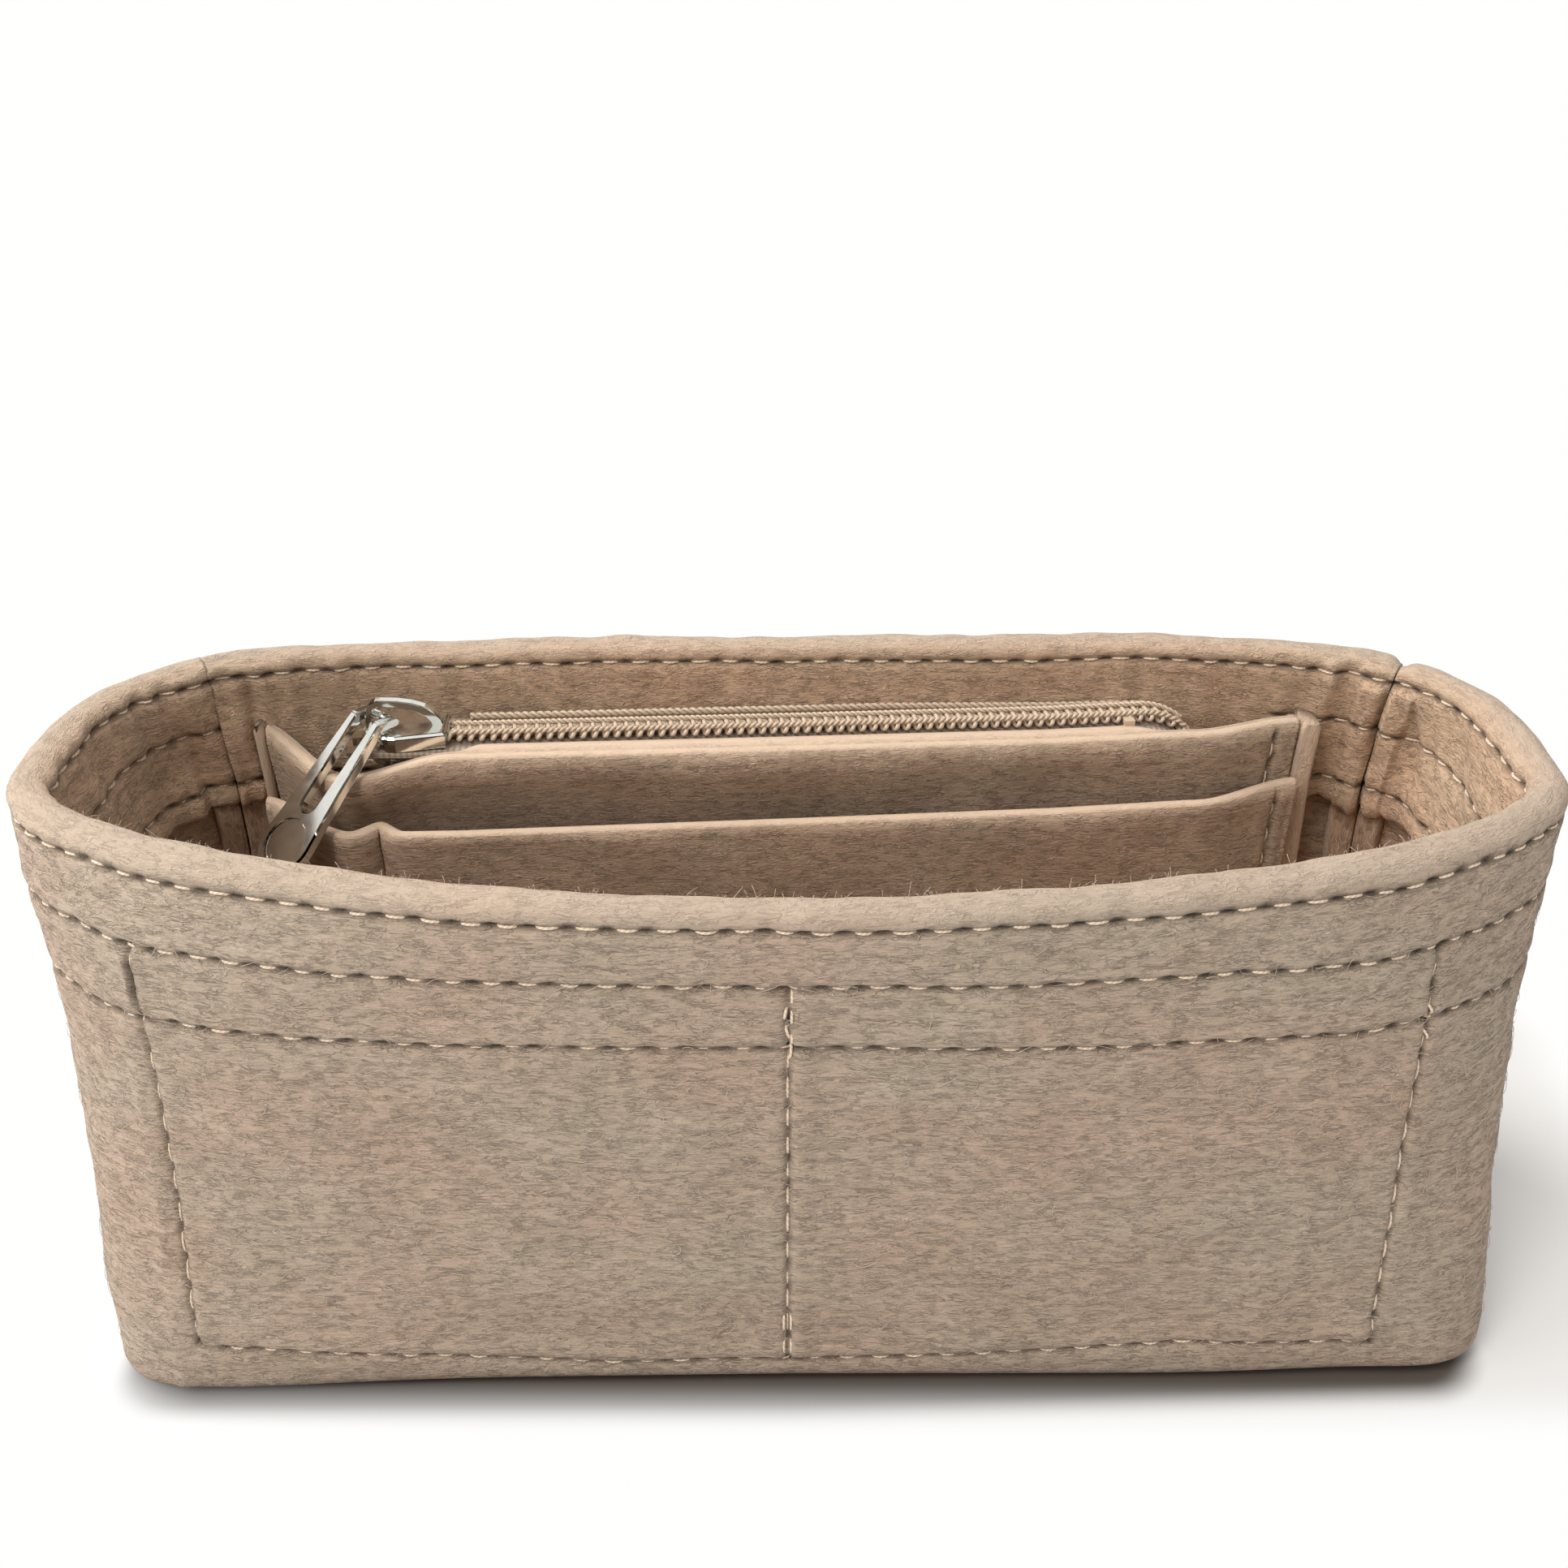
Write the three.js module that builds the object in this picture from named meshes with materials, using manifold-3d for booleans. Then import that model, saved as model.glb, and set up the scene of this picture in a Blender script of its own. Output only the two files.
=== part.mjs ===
// Purse organizer insert: an open felt tub with a folded rim, a front pocket panel inside, and a back
// pocket group of a zipped pocket with a slip pocket before it. Millimetres, +Z up, +X to the right of
// a person who looks at the front wall, origin at the centre of the underside.

import * as THREE from 'three';
import { mergeVertices } from 'three/addons/utils/BufferGeometryUtils.js';
import Module from 'manifold-3d';

const wasm = await Module();
wasm.setup();

// Driving dimensions of the tub
const RIM_LENGTH = 214;
const RIM_DEPTH = 83;
const HEIGHT = 82;
const BASE_LENGTH = 205;
const BASE_DEPTH = 75;
const FELT = 2.5;
const FOLD_SLIT = 0.3;
const SEAM_GAP = 0.3;
const RIM_WIDEST_BACKSET = -4;
const FACING_DROP = 24;
const BASE_EDGE_RADIUS = 3.2;
const BASE_HEM = 6;
const LEFT_SEAM_FROM_END = 16;
const RIGHT_SEAM_FROM_END = 11.5;
const LEFT_SEAM_X = RIM_LENGTH / 2 - LEFT_SEAM_FROM_END;
const RIGHT_SEAM_X = RIM_LENGTH / 2 - RIGHT_SEAM_FROM_END;
const SEAM_FLANGE_REACH = 3.6;
const SEAM_FLANGE_TOP_DROP = 1.6;

// Roundness of the plan outline, as exponents of the superellipse of each half
const BASE_ROUNDNESS = 7;
const RIM_FRONT_ROUNDNESS = 1.87;
const RIM_BACK_LEFT_ROUNDNESS = 3.1;
const RIM_BACK_RIGHT_ROUNDNESS = 3.9;

// Front pocket panel
const FRONT_POCKET_HALF_LENGTH = 86;
const FRONT_POCKET_DROP = 11;
const FRONT_POCKET_TOP = HEIGHT - FRONT_POCKET_DROP;
const FRONT_POCKET_BULGE = 6;
const FRONT_POCKET_GAP = 0.5;
const POCKET_FLOOR_GAP = 0.9;

// Back pocket group
const POCKET_END_LEFT_SHARE = 0.401;
const POCKET_END_RIGHT_SHARE = 0.3883;
const POCKET_END_LEFT_X = BASE_LENGTH * POCKET_END_LEFT_SHARE;
const POCKET_END_RIGHT_X = BASE_LENGTH * POCKET_END_RIGHT_SHARE;
const ZIP_BACKSET = 14.2;
const ZIP_CENTRE_Y = RIM_DEPTH / 2 - ZIP_BACKSET;
const ZIP_YAW_DEG = 2.65;
const ZIP_LEFT_MARGIN = 14.2;
const ZIP_RIGHT_MARGIN = 13.6;
const ZIP_LEFT_END = ZIP_LEFT_MARGIN - POCKET_END_LEFT_X;
const ZIP_RIGHT_END = POCKET_END_RIGHT_X - ZIP_RIGHT_MARGIN;
const END_STRIP_FELT = 1.6;
const END_STRIP_AHEAD = 1.1;
const END_STRIP_DROP = 8.8;
const END_STRIP_FRONT_Y = ZIP_CENTRE_Y - END_STRIP_AHEAD;
const END_STRIP_TOP = HEIGHT - END_STRIP_DROP;
const ZIP_PANEL_DROP = 9.4;
const ZIP_PANEL_TOP = HEIGHT - ZIP_PANEL_DROP;
const ZIP_PANEL_DIP = 4.4;
const ZIP_PANEL_DIP_BEFORE = 2;
const ZIP_PANEL_DIP_X = ZIP_LEFT_END - ZIP_PANEL_DIP_BEFORE;
const ZIP_PANEL_DIP_LENGTH = 20;
const ZIP_PANEL_BEND_LEFT = 17;
const ZIP_PANEL_BEND_RIGHT = 18;
const ZIP_PANEL_END_BEHIND = 2.1;
const ZIP_PANEL_END_Y = ZIP_CENTRE_Y + ZIP_PANEL_END_BEHIND;
const SLIP_PANEL_AHEAD = 6;
const SLIP_DROP_LEFT = 19.6;
const SLIP_DROP_RIGHT = 17.6;
const SLIP_END_AHEAD_LEFT = 4.9;
const SLIP_END_AHEAD_RIGHT = 1.9;
const PEN_SLOT_FROM_END = 5.5;
const PEN_SLOT_X = ZIP_LEFT_END + PEN_SLOT_FROM_END;
const PEN_SLOT_VALLEY = 3;
const PEN_SLOT_VALLEY_LENGTH = 4.5;

// Zip
const ZIP_PITCH = 1.72;
const TAPE_THICKNESS = 0.7;
const TAPE_DROP = 10.25;
const TAPE_TOP_Z = HEIGHT - TAPE_DROP;
const TAPE_SPLIT = 0.25;
const TAPE_BACK_REACH = 7;
const TAPE_FRONT_REACH = 5.6;
const TAPE_BACK_LEG = 8.5;
const TAPE_FRONT_LEG = 1;
const TAPE_BEAD = 0.4;
const ZIP_PARTING = 2.15;
const ZIP_PARTING_LENGTH = 6;
const ZIP_PARTING_LEAD_SHARE = 0.35;
const ZIP_DIVE_LENGTH = 11;
const ZIP_DIVE_START = ZIP_RIGHT_END - ZIP_DIVE_LENGTH;
const ZIP_DIVE_DEPTH = 7;
const ZIP_DIVE_FORWARD = 1.6;
const ZIP_DIVE_NARROWING = 1.4;
const ZIP_TUCK_LENGTH = 3.1;
const ZIP_TUCK_START = ZIP_LEFT_END + ZIP_TUCK_LENGTH;
const ZIP_TUCK_DEPTH = 2;
const COIL_WIRE = 0.5;
const COIL_LOOP_REACH = 1.55;
const COIL_LOOP_CENTRE = 0.75;
const COIL_LOOP_RISE = 0.5;
const COIL_GAP = 0.25;
const COIL_STEPS = 6;
const COIL_SIDES = 3;
const STOP_LENGTH = 1.6;
const STOP_WALL = 0.7;
const STOP_GRIP = 1.8;

// Slider and pull
const SLIDER_FROM_END = 9.5;
const SLIDER_STOP_FROM_END = 20.5;
const SLIDER_X = ZIP_LEFT_END + SLIDER_FROM_END;
const SLIDER_NOSE = 6.3;
const SLIDER_TAIL = 5.7;
const SLIDER_TRAVEL = ZIP_RIGHT_END - SLIDER_X - SLIDER_STOP_FROM_END;
const SLIDER_CLEARANCE = 0.3;
const PLATE_THICKNESS = 1;
const PLATE_BEVEL = 0.3;
const SHOULDER_HALF_WIDTH = 5.1;
const SHOULDER_X = -1.6;
const TAIL_HALF_WIDTH = 3.7;
const NOSE_HALF_WIDTH = 2.2;
const LOWER_PLATE_HALF_WIDTH = 4.4;
const FLANGE_WALL = 0.65;
const FLANGE_DROP = 1.2;
const POST_HALF_WIDTH = 0.8;
const POST_LENGTH = 3.4;
const POST_WIDEST_SHARE = 0.4;
const CROWN_WIDTH = 1.2;
const CROWN_BAND = 0.75;
const CROWN_BEND = 2.25;
const CROWN_TAIL_BAND = 1.5;
const CROWN_TOP_RISE = 4.1;
const PIVOT_X = -4.05;
const PIVOT_RISE = 1.5;
const PULL_YAW_DEG = 48;
const PULL_SLOPE_DEG = 40.4;
const PULL_THICKNESS = 1.1;
const PULL_CRANK = 2.6;
const PULL_ARM_WIDTH = 0.95;
const PULL_EYE_HALF_WIDTH = 2.3;
const PULL_BAR_RADIUS = 0.5;
const PULL_LENGTH = 24.6;
const PULL_PAD_RADIUS = 5;
const PULL_PAD_RECESS = 0.3;
const PULL_PAD_STEP = 1;
const PULL_SLOT_END_RADIUS = 1.9;

const OVERRUN = 1;

// Steps of the curves
const EDGE_ARC_STEPS = 3;
const INNER_EDGE_ARC_STEPS = 2;
const FOLD_ARC_STEPS = 6;
const PLATE_CURVE_STEPS = 5;
const POST_CURVE_STEPS = 3;
const CROWN_CURVE_STEPS = 6;
const PULL_CURVE_STEPS = 10;
const PAD_SIDES = 24;
const KNUCKLE_SIDES = 12;
const BAR_SIDES = 10;
const JOIN_TOLERANCE = 1e-4;
const MERGE_TOLERANCE = 1e-5;

const DEG = Math.PI / 180;

// Felt and metal colours of the object
const FELT_MATERIAL = new THREE.MeshStandardMaterial({ color: 0xa89079, roughness: 0.95, metalness: 0 });
const LINING_MATERIAL = new THREE.MeshStandardMaterial({ color: 0x9a8069, roughness: 0.95, metalness: 0 });
const TAPE_MATERIAL = new THREE.MeshStandardMaterial({ color: 0x9c8468, roughness: 0.9, metalness: 0 });
const COIL_MATERIAL = new THREE.MeshStandardMaterial({ color: 0xc6a888, roughness: 0.55, metalness: 0 });
const METAL_MATERIAL = new THREE.MeshStandardMaterial({ color: 0xb9b8b0, roughness: 0.2, metalness: 1 });

const mix = (from, to, share) => from + (to - from) * share;
const clampShare = (value) => Math.min(1, Math.max(0, value));
const easeShare = (value) => {
  const share = clampShare(value);
  return share * share * (3 - 2 * share);
};

// Triangles of a flat loop that run the same way round as the loop itself
function capTriangles(loop) {
  const triangles = THREE.ShapeUtils.triangulateShape(loop, []);
  const area = triangles.reduce((sum, corners) => sum + THREE.ShapeUtils.area(corners.map((i) => loop[i])), 0);
  const isAlike = Math.sign(area) === Math.sign(THREE.ShapeUtils.area(loop));
  return isAlike ? triangles : triangles.map(([a, b, c]) => [c, b, a]);
}

// Closed solid lofted through loops of equal point counts, capped by the triangles of its first loop
function loftSolid(loops, capLoop) {
  const count = loops[0].length;
  const positions = loops.flatMap((loop) => loop.flatMap((point) => [point.x, point.y, point.z]));
  const index = [];
  for (let row = 0; row < loops.length - 1; row += 1) {
    for (let column = 0; column < count; column += 1) {
      const next = (column + 1) % count;
      const here = row * count;
      const there = here + count;
      index.push(here + column, here + next, there + next);
      index.push(here + column, there + next, there + column);
    }
  }
  const last = (loops.length - 1) * count;
  for (const [a, b, c] of capTriangles(capLoop)) {
    index.push(c, b, a);
    index.push(last + a, last + b, last + c);
  }
  const geometry = new THREE.BufferGeometry();
  geometry.setAttribute('position', new THREE.Float32BufferAttribute(positions, 3));
  geometry.setIndex(index);
  return orientOutward(geometry);
}

// Six times the signed volume tells whether the faces point out
function orientOutward(geometry) {
  const index = geometry.index.array;
  const position = geometry.attributes.position;
  const a = new THREE.Vector3();
  const b = new THREE.Vector3();
  const c = new THREE.Vector3();
  let volume = 0;
  for (let i = 0; i < index.length; i += 3) {
    a.fromBufferAttribute(position, index[i]);
    b.fromBufferAttribute(position, index[i + 1]);
    c.fromBufferAttribute(position, index[i + 2]);
    volume += a.dot(b.cross(c));
  }
  if (volume < 0) {
    for (let i = 0; i < index.length; i += 3) {
      const first = index[i];
      index[i] = index[i + 1];
      index[i + 1] = first;
    }
  }
  return geometry;
}

function toManifold(geometry) {
  const bare = geometry.clone();
  bare.deleteAttribute('normal');
  bare.deleteAttribute('uv');
  const merged = mergeVertices(bare, JOIN_TOLERANCE);
  return new wasm.Manifold(new wasm.Mesh({
    numProp: 3,
    vertProperties: new Float32Array(merged.attributes.position.array),
    triVerts: new Uint32Array(merged.index.array),
  }));
}

function fromManifold(solid) {
  const mesh = solid.getMesh();
  const geometry = new THREE.BufferGeometry();
  geometry.setAttribute('position', new THREE.Float32BufferAttribute(mesh.vertProperties, 3));
  geometry.setIndex(Array.from(mesh.triVerts));
  return geometry;
}

function join(geometries) {
  const solids = geometries.map(toManifold);
  return fromManifold(solids.reduce((whole, piece) => whole.add(piece)));
}

function cut(geometry, tools) {
  const tool = toManifold(join(tools));
  return fromManifold(toManifold(geometry).subtract(tool));
}

// Extrusion of an outline in the XY plane between two heights
function prism(outline, low, high, holes = []) {
  const shape = new THREE.Shape(outline);
  shape.holes = holes.map((hole) => new THREE.Path(hole));
  const geometry = new THREE.ExtrudeGeometry(shape, { depth: high - low, bevelEnabled: false });
  geometry.translate(0, 0, low);
  return geometry;
}

// Plan outline of the tub at a height: a superellipse whose front and back halves differ
const OUTLINE_STEPS = 720;

function outlineAt(height) {
  const rimShare = clampShare(height / HEIGHT);
  const halfLength = mix(BASE_LENGTH, RIM_LENGTH, rimShare) / 2;
  const widestY = mix(0, RIM_WIDEST_BACKSET, rimShare);
  const halfDepth = mix(BASE_DEPTH, RIM_DEPTH, rimShare) / 2;
  const frontRoundness = mix(BASE_ROUNDNESS, RIM_FRONT_ROUNDNESS, rimShare);
  const backLeftRoundness = mix(BASE_ROUNDNESS, RIM_BACK_LEFT_ROUNDNESS, rimShare);
  const backRightRoundness = mix(BASE_ROUNDNESS, RIM_BACK_RIGHT_ROUNDNESS, rimShare);
  const points = [];
  for (let step = 0; step < OUTLINE_STEPS; step += 1) {
    const angle = Math.PI / 2 + (2 * Math.PI * step) / OUTLINE_STEPS;
    const isFront = Math.sin(angle) < 0;
    const reach = isFront ? halfDepth + widestY : halfDepth - widestY;
    const backRoundness = Math.cos(angle) < 0 ? backLeftRoundness : backRightRoundness;
    const roundness = isFront ? frontRoundness : backRoundness;
    const alongX = Math.abs(Math.cos(angle) / halfLength) ** roundness;
    const alongY = Math.abs(Math.sin(angle) / reach) ** roundness;
    const radius = (alongX + alongY) ** (-1 / roundness);
    points.push(new THREE.Vector2(radius * Math.cos(angle), widestY + radius * Math.sin(angle)));
  }
  return points;
}

// The outline runs from the back centre over the left end, the front and the right end. Each seam lies
// in an upright plane square to the rim, so that the cut ends of both walls stay flat.
function tangentOf(points, i) {
  const after = points[(i + 2 + OUTLINE_STEPS) % OUTLINE_STEPS];
  const before = points[(i - 2 + OUTLINE_STEPS) % OUTLINE_STEPS];
  return after.clone().sub(before).normalize();
}

function makeSeam(seamX) {
  const points = outlineAt(HEIGHT);
  const quarter = OUTLINE_STEPS / 4;
  let step = 0;
  for (let i = 0; i < OUTLINE_STEPS; i += 1) {
    const isBack = i < quarter || i > OUTLINE_STEPS - quarter;
    if (isBack && Math.abs(points[i].x - seamX) < Math.abs(points[step].x - seamX)) step = i;
  }
  const tangent = tangentOf(points, step);
  return { step, tangent, inward: new THREE.Vector2(-tangent.y, tangent.x), origin: points[step] };
}

const LEFT_SEAM = makeSeam(-LEFT_SEAM_X);
const RIGHT_SEAM = makeSeam(RIGHT_SEAM_X);
const SEAM_SEARCH_STEPS = OUTLINE_STEPS / 8;

// Where the outline at a height crosses a seam's plane: the point and its fractional step
function seamCrossing(points, seam) {
  const ahead = (i) => points[(i + OUTLINE_STEPS) % OUTLINE_STEPS].clone().sub(seam.origin).dot(seam.tangent);
  let i = seam.step - SEAM_SEARCH_STEPS;
  while (ahead(i + 1) < 0) i += 1;
  const part = ahead(i) / (ahead(i) - ahead(i + 1));
  const here = points[(i + OUTLINE_STEPS) % OUTLINE_STEPS];
  const next = points[(i + 1 + OUTLINE_STEPS) % OUTLINE_STEPS];
  return { step: i + part, point: here.clone().lerp(next, part) };
}

// Places along the outline at a height, from one seam round to the next: equal steps of arc, each with
// its inward normal
function placesAlong(height, fromSeam, toSeam, stations) {
  const points = outlineAt(height);
  const from = seamCrossing(points, fromSeam);
  const to = seamCrossing(points, toSeam);
  const start = Math.ceil(from.step);
  const end = Math.floor(to.step) + (to.step < from.step ? OUTLINE_STEPS : 0);
  const line = [{ point: from.point, tangent: fromSeam.tangent }];
  for (let i = start; i <= end; i += 1) {
    line.push({ point: points[(i + OUTLINE_STEPS) % OUTLINE_STEPS], tangent: tangentOf(points, i) });
  }
  line.push({ point: to.point, tangent: toSeam.tangent });
  const lengths = [0];
  for (let i = 1; i < line.length; i += 1) {
    lengths.push(lengths[i - 1] + line[i].point.distanceTo(line[i - 1].point));
  }
  const total = lengths[lengths.length - 1];
  return stations.map((share) => {
    const wanted = mix(SEAM_GAP / 2, total - SEAM_GAP / 2, share);
    let i = 1;
    while (i < lengths.length - 1 && lengths[i] < wanted) i += 1;
    const part = (wanted - lengths[i - 1]) / (lengths[i] - lengths[i - 1]);
    const point = line[i - 1].point.clone().lerp(line[i].point, part);
    const tangent = line[i - 1].tangent.clone().lerp(line[i].tangent, part).normalize();
    if (share === 0) seatOnSeam(point, tangent, from.point, fromSeam, SEAM_GAP / 2);
    if (share === 1) seatOnSeam(point, tangent, to.point, toSeam, -SEAM_GAP / 2);
    return { point, tangent, inward: new THREE.Vector2(-tangent.y, tangent.x), total };
  });
}

function seatOnSeam(point, tangent, crossing, seam, offset) {
  point.copy(crossing).addScaledVector(seam.tangent, offset);
  tangent.copy(seam.tangent);
}

// Sweep of an (inset, height) profile along a strip of the tub's wall
function wallSweep(profile, fromSeam, toSeam, stations) {
  const rows = profile.map(([, height]) => placesAlong(height, fromSeam, toSeam, stations));
  const loops = stations.map((_, station) => profile.map(([inset, height], corner) => {
    const { point, inward } = rows[corner][station];
    return new THREE.Vector3(point.x + inward.x * inset, point.y + inward.y * inset, height);
  }));
  return loftSolid(loops, profile.map(([inset, height]) => new THREE.Vector2(inset, height)));
}

// Section of the wall strip: turned under at the base, folded over at the rim and down as a facing
const FOLD_THICKNESS = 2 * FELT + FOLD_SLIT;
const FOLD_RADIUS = FOLD_THICKNESS / 2;
const FACING_FOOT = HEIGHT - FACING_DROP;
const FOLD_HEIGHT = HEIGHT - FOLD_RADIUS;
const WALL_LEVEL_SHARES = [0.2, 0.4, 0.6, 0.85];
const WALL_LEVELS = WALL_LEVEL_SHARES.map((share) => mix(BASE_EDGE_RADIUS, FOLD_HEIGHT, share));

function quarterArc(centreInset, centreHeight, radius, fromDeg, toDeg, steps) {
  return Array.from({ length: steps + 1 }, (_, i) => {
    const angle = mix(fromDeg, toDeg, i / steps) * DEG;
    return [centreInset + radius * Math.cos(angle), centreHeight + radius * Math.sin(angle)];
  });
}

function wallProfile() {
  const innerRadius = BASE_EDGE_RADIUS - FELT;
  const below = WALL_LEVELS.filter((height) => height < FACING_FOOT).reverse();
  const above = WALL_LEVELS.filter((height) => height > FACING_FOOT).reverse();
  return [
    [BASE_HEM, 0],
    ...quarterArc(BASE_EDGE_RADIUS, BASE_EDGE_RADIUS, BASE_EDGE_RADIUS, 270, 180, EDGE_ARC_STEPS),
    ...WALL_LEVELS.map((height) => [0, height]),
    ...quarterArc(FOLD_RADIUS, FOLD_HEIGHT, FOLD_RADIUS, 180, 0, FOLD_ARC_STEPS),
    ...above.map((height) => [FOLD_THICKNESS, height]),
    [FOLD_THICKNESS, FACING_FOOT],
    [FELT + FOLD_SLIT, FACING_FOOT],
    [FELT + FOLD_SLIT, FOLD_HEIGHT],
    [FELT, FOLD_HEIGHT],
    [FELT, FACING_FOOT],
    ...below.map((height) => [FELT, height]),
    ...quarterArc(BASE_EDGE_RADIUS, BASE_EDGE_RADIUS, innerRadius, 180, 270, INNER_EDGE_ARC_STEPS),
    [BASE_HEM, FELT],
  ];
}

// Each wall strip ends in seam allowances that turn inward at the back corners; side +1 is the strip's
// start, -1 its end
function seamFlange(seam, side) {
  const low = FELT + SEAM_GAP;
  const high = HEIGHT - SEAM_FLANGE_TOP_DROP;
  const levels = [
    [low, BASE_EDGE_RADIUS],
    [low + FELT, FELT / 2],
    ...WALL_LEVELS.map((height) => [height, FELT / 2]),
    [high, FELT / 2],
  ];
  const reach = FOLD_THICKNESS + SEAM_FLANGE_REACH;
  const loops = levels.map(([height, root]) => {
    const crossing = seamCrossing(outlineAt(height), seam).point;
    const at = (inset, aside) => {
      const place = crossing.clone().addScaledVector(seam.inward, inset);
      place.addScaledVector(seam.tangent, side * aside);
      return new THREE.Vector3(place.x, place.y, height);
    };
    const near = SEAM_GAP / 2;
    const far = near + FELT;
    return [at(root, near), at(root, far), at(reach, far), at(reach, near)];
  });
  return loftSolid(loops, loops[loops.length - 1].map((corner) => new THREE.Vector2(corner.x, corner.y)));
}

function wallStrip(fromSeam, toSeam, stationCount) {
  const stations = Array.from({ length: stationCount + 1 }, (_, i) => i / stationCount);
  const strip = wallSweep(wallProfile(), fromSeam, toSeam, stations);
  return join([strip, seamFlange(fromSeam, 1), seamFlange(toSeam, -1)]);
}

const FRONT_STATIONS = 54;
const BACK_STATIONS = 20;

function frontWall() {
  return wallStrip(LEFT_SEAM, RIGHT_SEAM, FRONT_STATIONS);
}

function backWall() {
  return wallStrip(RIGHT_SEAM, LEFT_SEAM, BACK_STATIONS);
}

// Bottom panel, sewn edge to edge with the turned-under wall
const BASE_STATION_STEPS = 10;

function basePanel() {
  const points = outlineAt(0);
  const outline = [];
  for (let i = 0; i < OUTLINE_STEPS; i += BASE_STATION_STEPS) {
    const tangent = tangentOf(points, i);
    const inward = new THREE.Vector2(-tangent.y, tangent.x);
    outline.push(points[i].clone().addScaledVector(inward, BASE_HEM + SEAM_GAP));
  }
  return prism(outline, 0, FELT);
}

// Front pocket panel: sewn flat at both ends and the middle, slack between
const FRONT_POCKET_STATIONS = 36;
const POCKET_HEIGHT_SHARES = [0, 0.25, 0.5, 0.75, 1];

function frontPocketPanel() {
  const low = FELT + POCKET_FLOOR_GAP;
  const shares = Array.from({ length: FRONT_POCKET_STATIONS + 1 }, (_, i) => i / FRONT_POCKET_STATIONS);
  const rows = POCKET_HEIGHT_SHARES.map((heightShare) => {
    const height = mix(low, FRONT_POCKET_TOP, heightShare);
    const [leftEnd, rightEnd] = placesAlong(height, LEFT_SEAM, RIGHT_SEAM, [0, 1]);
    const { total } = leftEnd;
    const extra = new THREE.Vector2(-leftEnd.point.x, leftEnd.point.y).distanceTo(rightEnd.point);
    const middleShare = (total + extra) / (2 * total);
    const stations = shares.map((share) => middleShare + ((2 * share - 1) * FRONT_POCKET_HALF_LENGTH) / total);
    const places = placesAlong(height, LEFT_SEAM, RIGHT_SEAM, stations);
    return { height, heightShare, places };
  });
  const loops = shares.map((share, station) => {
    const slack = FRONT_POCKET_BULGE * Math.sin(2 * Math.PI * share) ** 2;
    const at = (row, extra) => {
      const { point, inward } = row.places[station];
      const inset = FOLD_THICKNESS + FRONT_POCKET_GAP + slack * easeShare(row.heightShare) + extra;
      return new THREE.Vector3(point.x + inward.x * inset, point.y + inward.y * inset, row.height);
    };
    const outer = rows.map((row) => at(row, 0));
    const inner = rows.map((row) => at(row, FELT)).reverse();
    return [...outer, ...inner];
  });
  const outerEdge = POCKET_HEIGHT_SHARES.map((share) => new THREE.Vector2(0, share));
  const innerEdge = POCKET_HEIGHT_SHARES.map((share) => new THREE.Vector2(1, share)).reverse();
  return loftSolid(loops, [...outerEdge, ...innerEdge]);
}

// Where the back wall's surface at an inset lies, by X and height
function backFaceY(x, height, inset) {
  const points = outlineAt(height);
  const quarter = OUTLINE_STEPS / 4;
  const line = [];
  for (let i = 1 - quarter; i < quarter; i += 1) {
    const here = points[(i + OUTLINE_STEPS) % OUTLINE_STEPS];
    const tangent = tangentOf(points, i);
    line.push(new THREE.Vector2(here.x - tangent.y * inset, here.y + tangent.x * inset));
  }
  const next = Math.max(1, line.findIndex((point) => point.x <= x));
  const share = (x - line[next - 1].x) / (line[next].x - line[next - 1].x);
  return mix(line[next - 1].y, line[next].y, share);
}

const zipY = (x) => ZIP_CENTRE_Y + x * Math.tan(ZIP_YAW_DEG * DEG);

// Share of the way from the pockets' ends to the straight stretch along the zip
function straightShare(x) {
  const leftShare = easeShare((x + POCKET_END_LEFT_X) / ZIP_PANEL_BEND_LEFT);
  const rightShare = easeShare((POCKET_END_RIGHT_X - x) / ZIP_PANEL_BEND_RIGHT);
  return leftShare * rightShare;
}

// Back face of the zip panel's top edge: along the zip, and back to the wall at both ends
function zipPanelTopY(x) {
  return mix(ZIP_PANEL_END_Y, zipY(x) - TAPE_FRONT_REACH - SEAM_GAP, straightShare(x));
}

function zipPanelTopZ(x) {
  const awayShare = Math.abs(x - ZIP_PANEL_DIP_X) / ZIP_PANEL_DIP_LENGTH;
  return ZIP_PANEL_TOP - ZIP_PANEL_DIP * (1 - easeShare(awayShare));
}

// Back face of the slip pocket's top edge, drawn in where a stitched valley parts off the pen slot
function slipPanelTopY(x) {
  const valleyShare = 1 - easeShare(Math.abs(x - PEN_SLOT_X) / PEN_SLOT_VALLEY_LENGTH);
  const ahead = zipY(x) - TAPE_FRONT_REACH - SEAM_GAP - SLIP_PANEL_AHEAD + PEN_SLOT_VALLEY * valleyShare;
  const endAhead = x < 0 ? SLIP_END_AHEAD_LEFT : SLIP_END_AHEAD_RIGHT;
  return mix(ZIP_CENTRE_Y - endAhead, ahead, straightShare(x));
}

function slipPanelTopZ(x) {
  const share = (x + POCKET_END_LEFT_X) / (POCKET_END_LEFT_X + POCKET_END_RIGHT_X);
  return HEIGHT - mix(SLIP_DROP_LEFT, SLIP_DROP_RIGHT, share);
}

// Upright felt panel whose foot stands at the back wall and whose top edge stands forward of it. A
// higher lean power keeps it back for longer.
const PANEL_STATIONS = 44;
const PANEL_UPRIGHT_SHARE = 0.965;
const PANEL_HEIGHT_SHARES = [0, 0.25, 0.5, 0.75, 0.9, PANEL_UPRIGHT_SHARE, 1];
const ZIP_PANEL_LEAN_POWER = 2.6;
const SLIP_PANEL_LEAN_POWER = 0.7;

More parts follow.
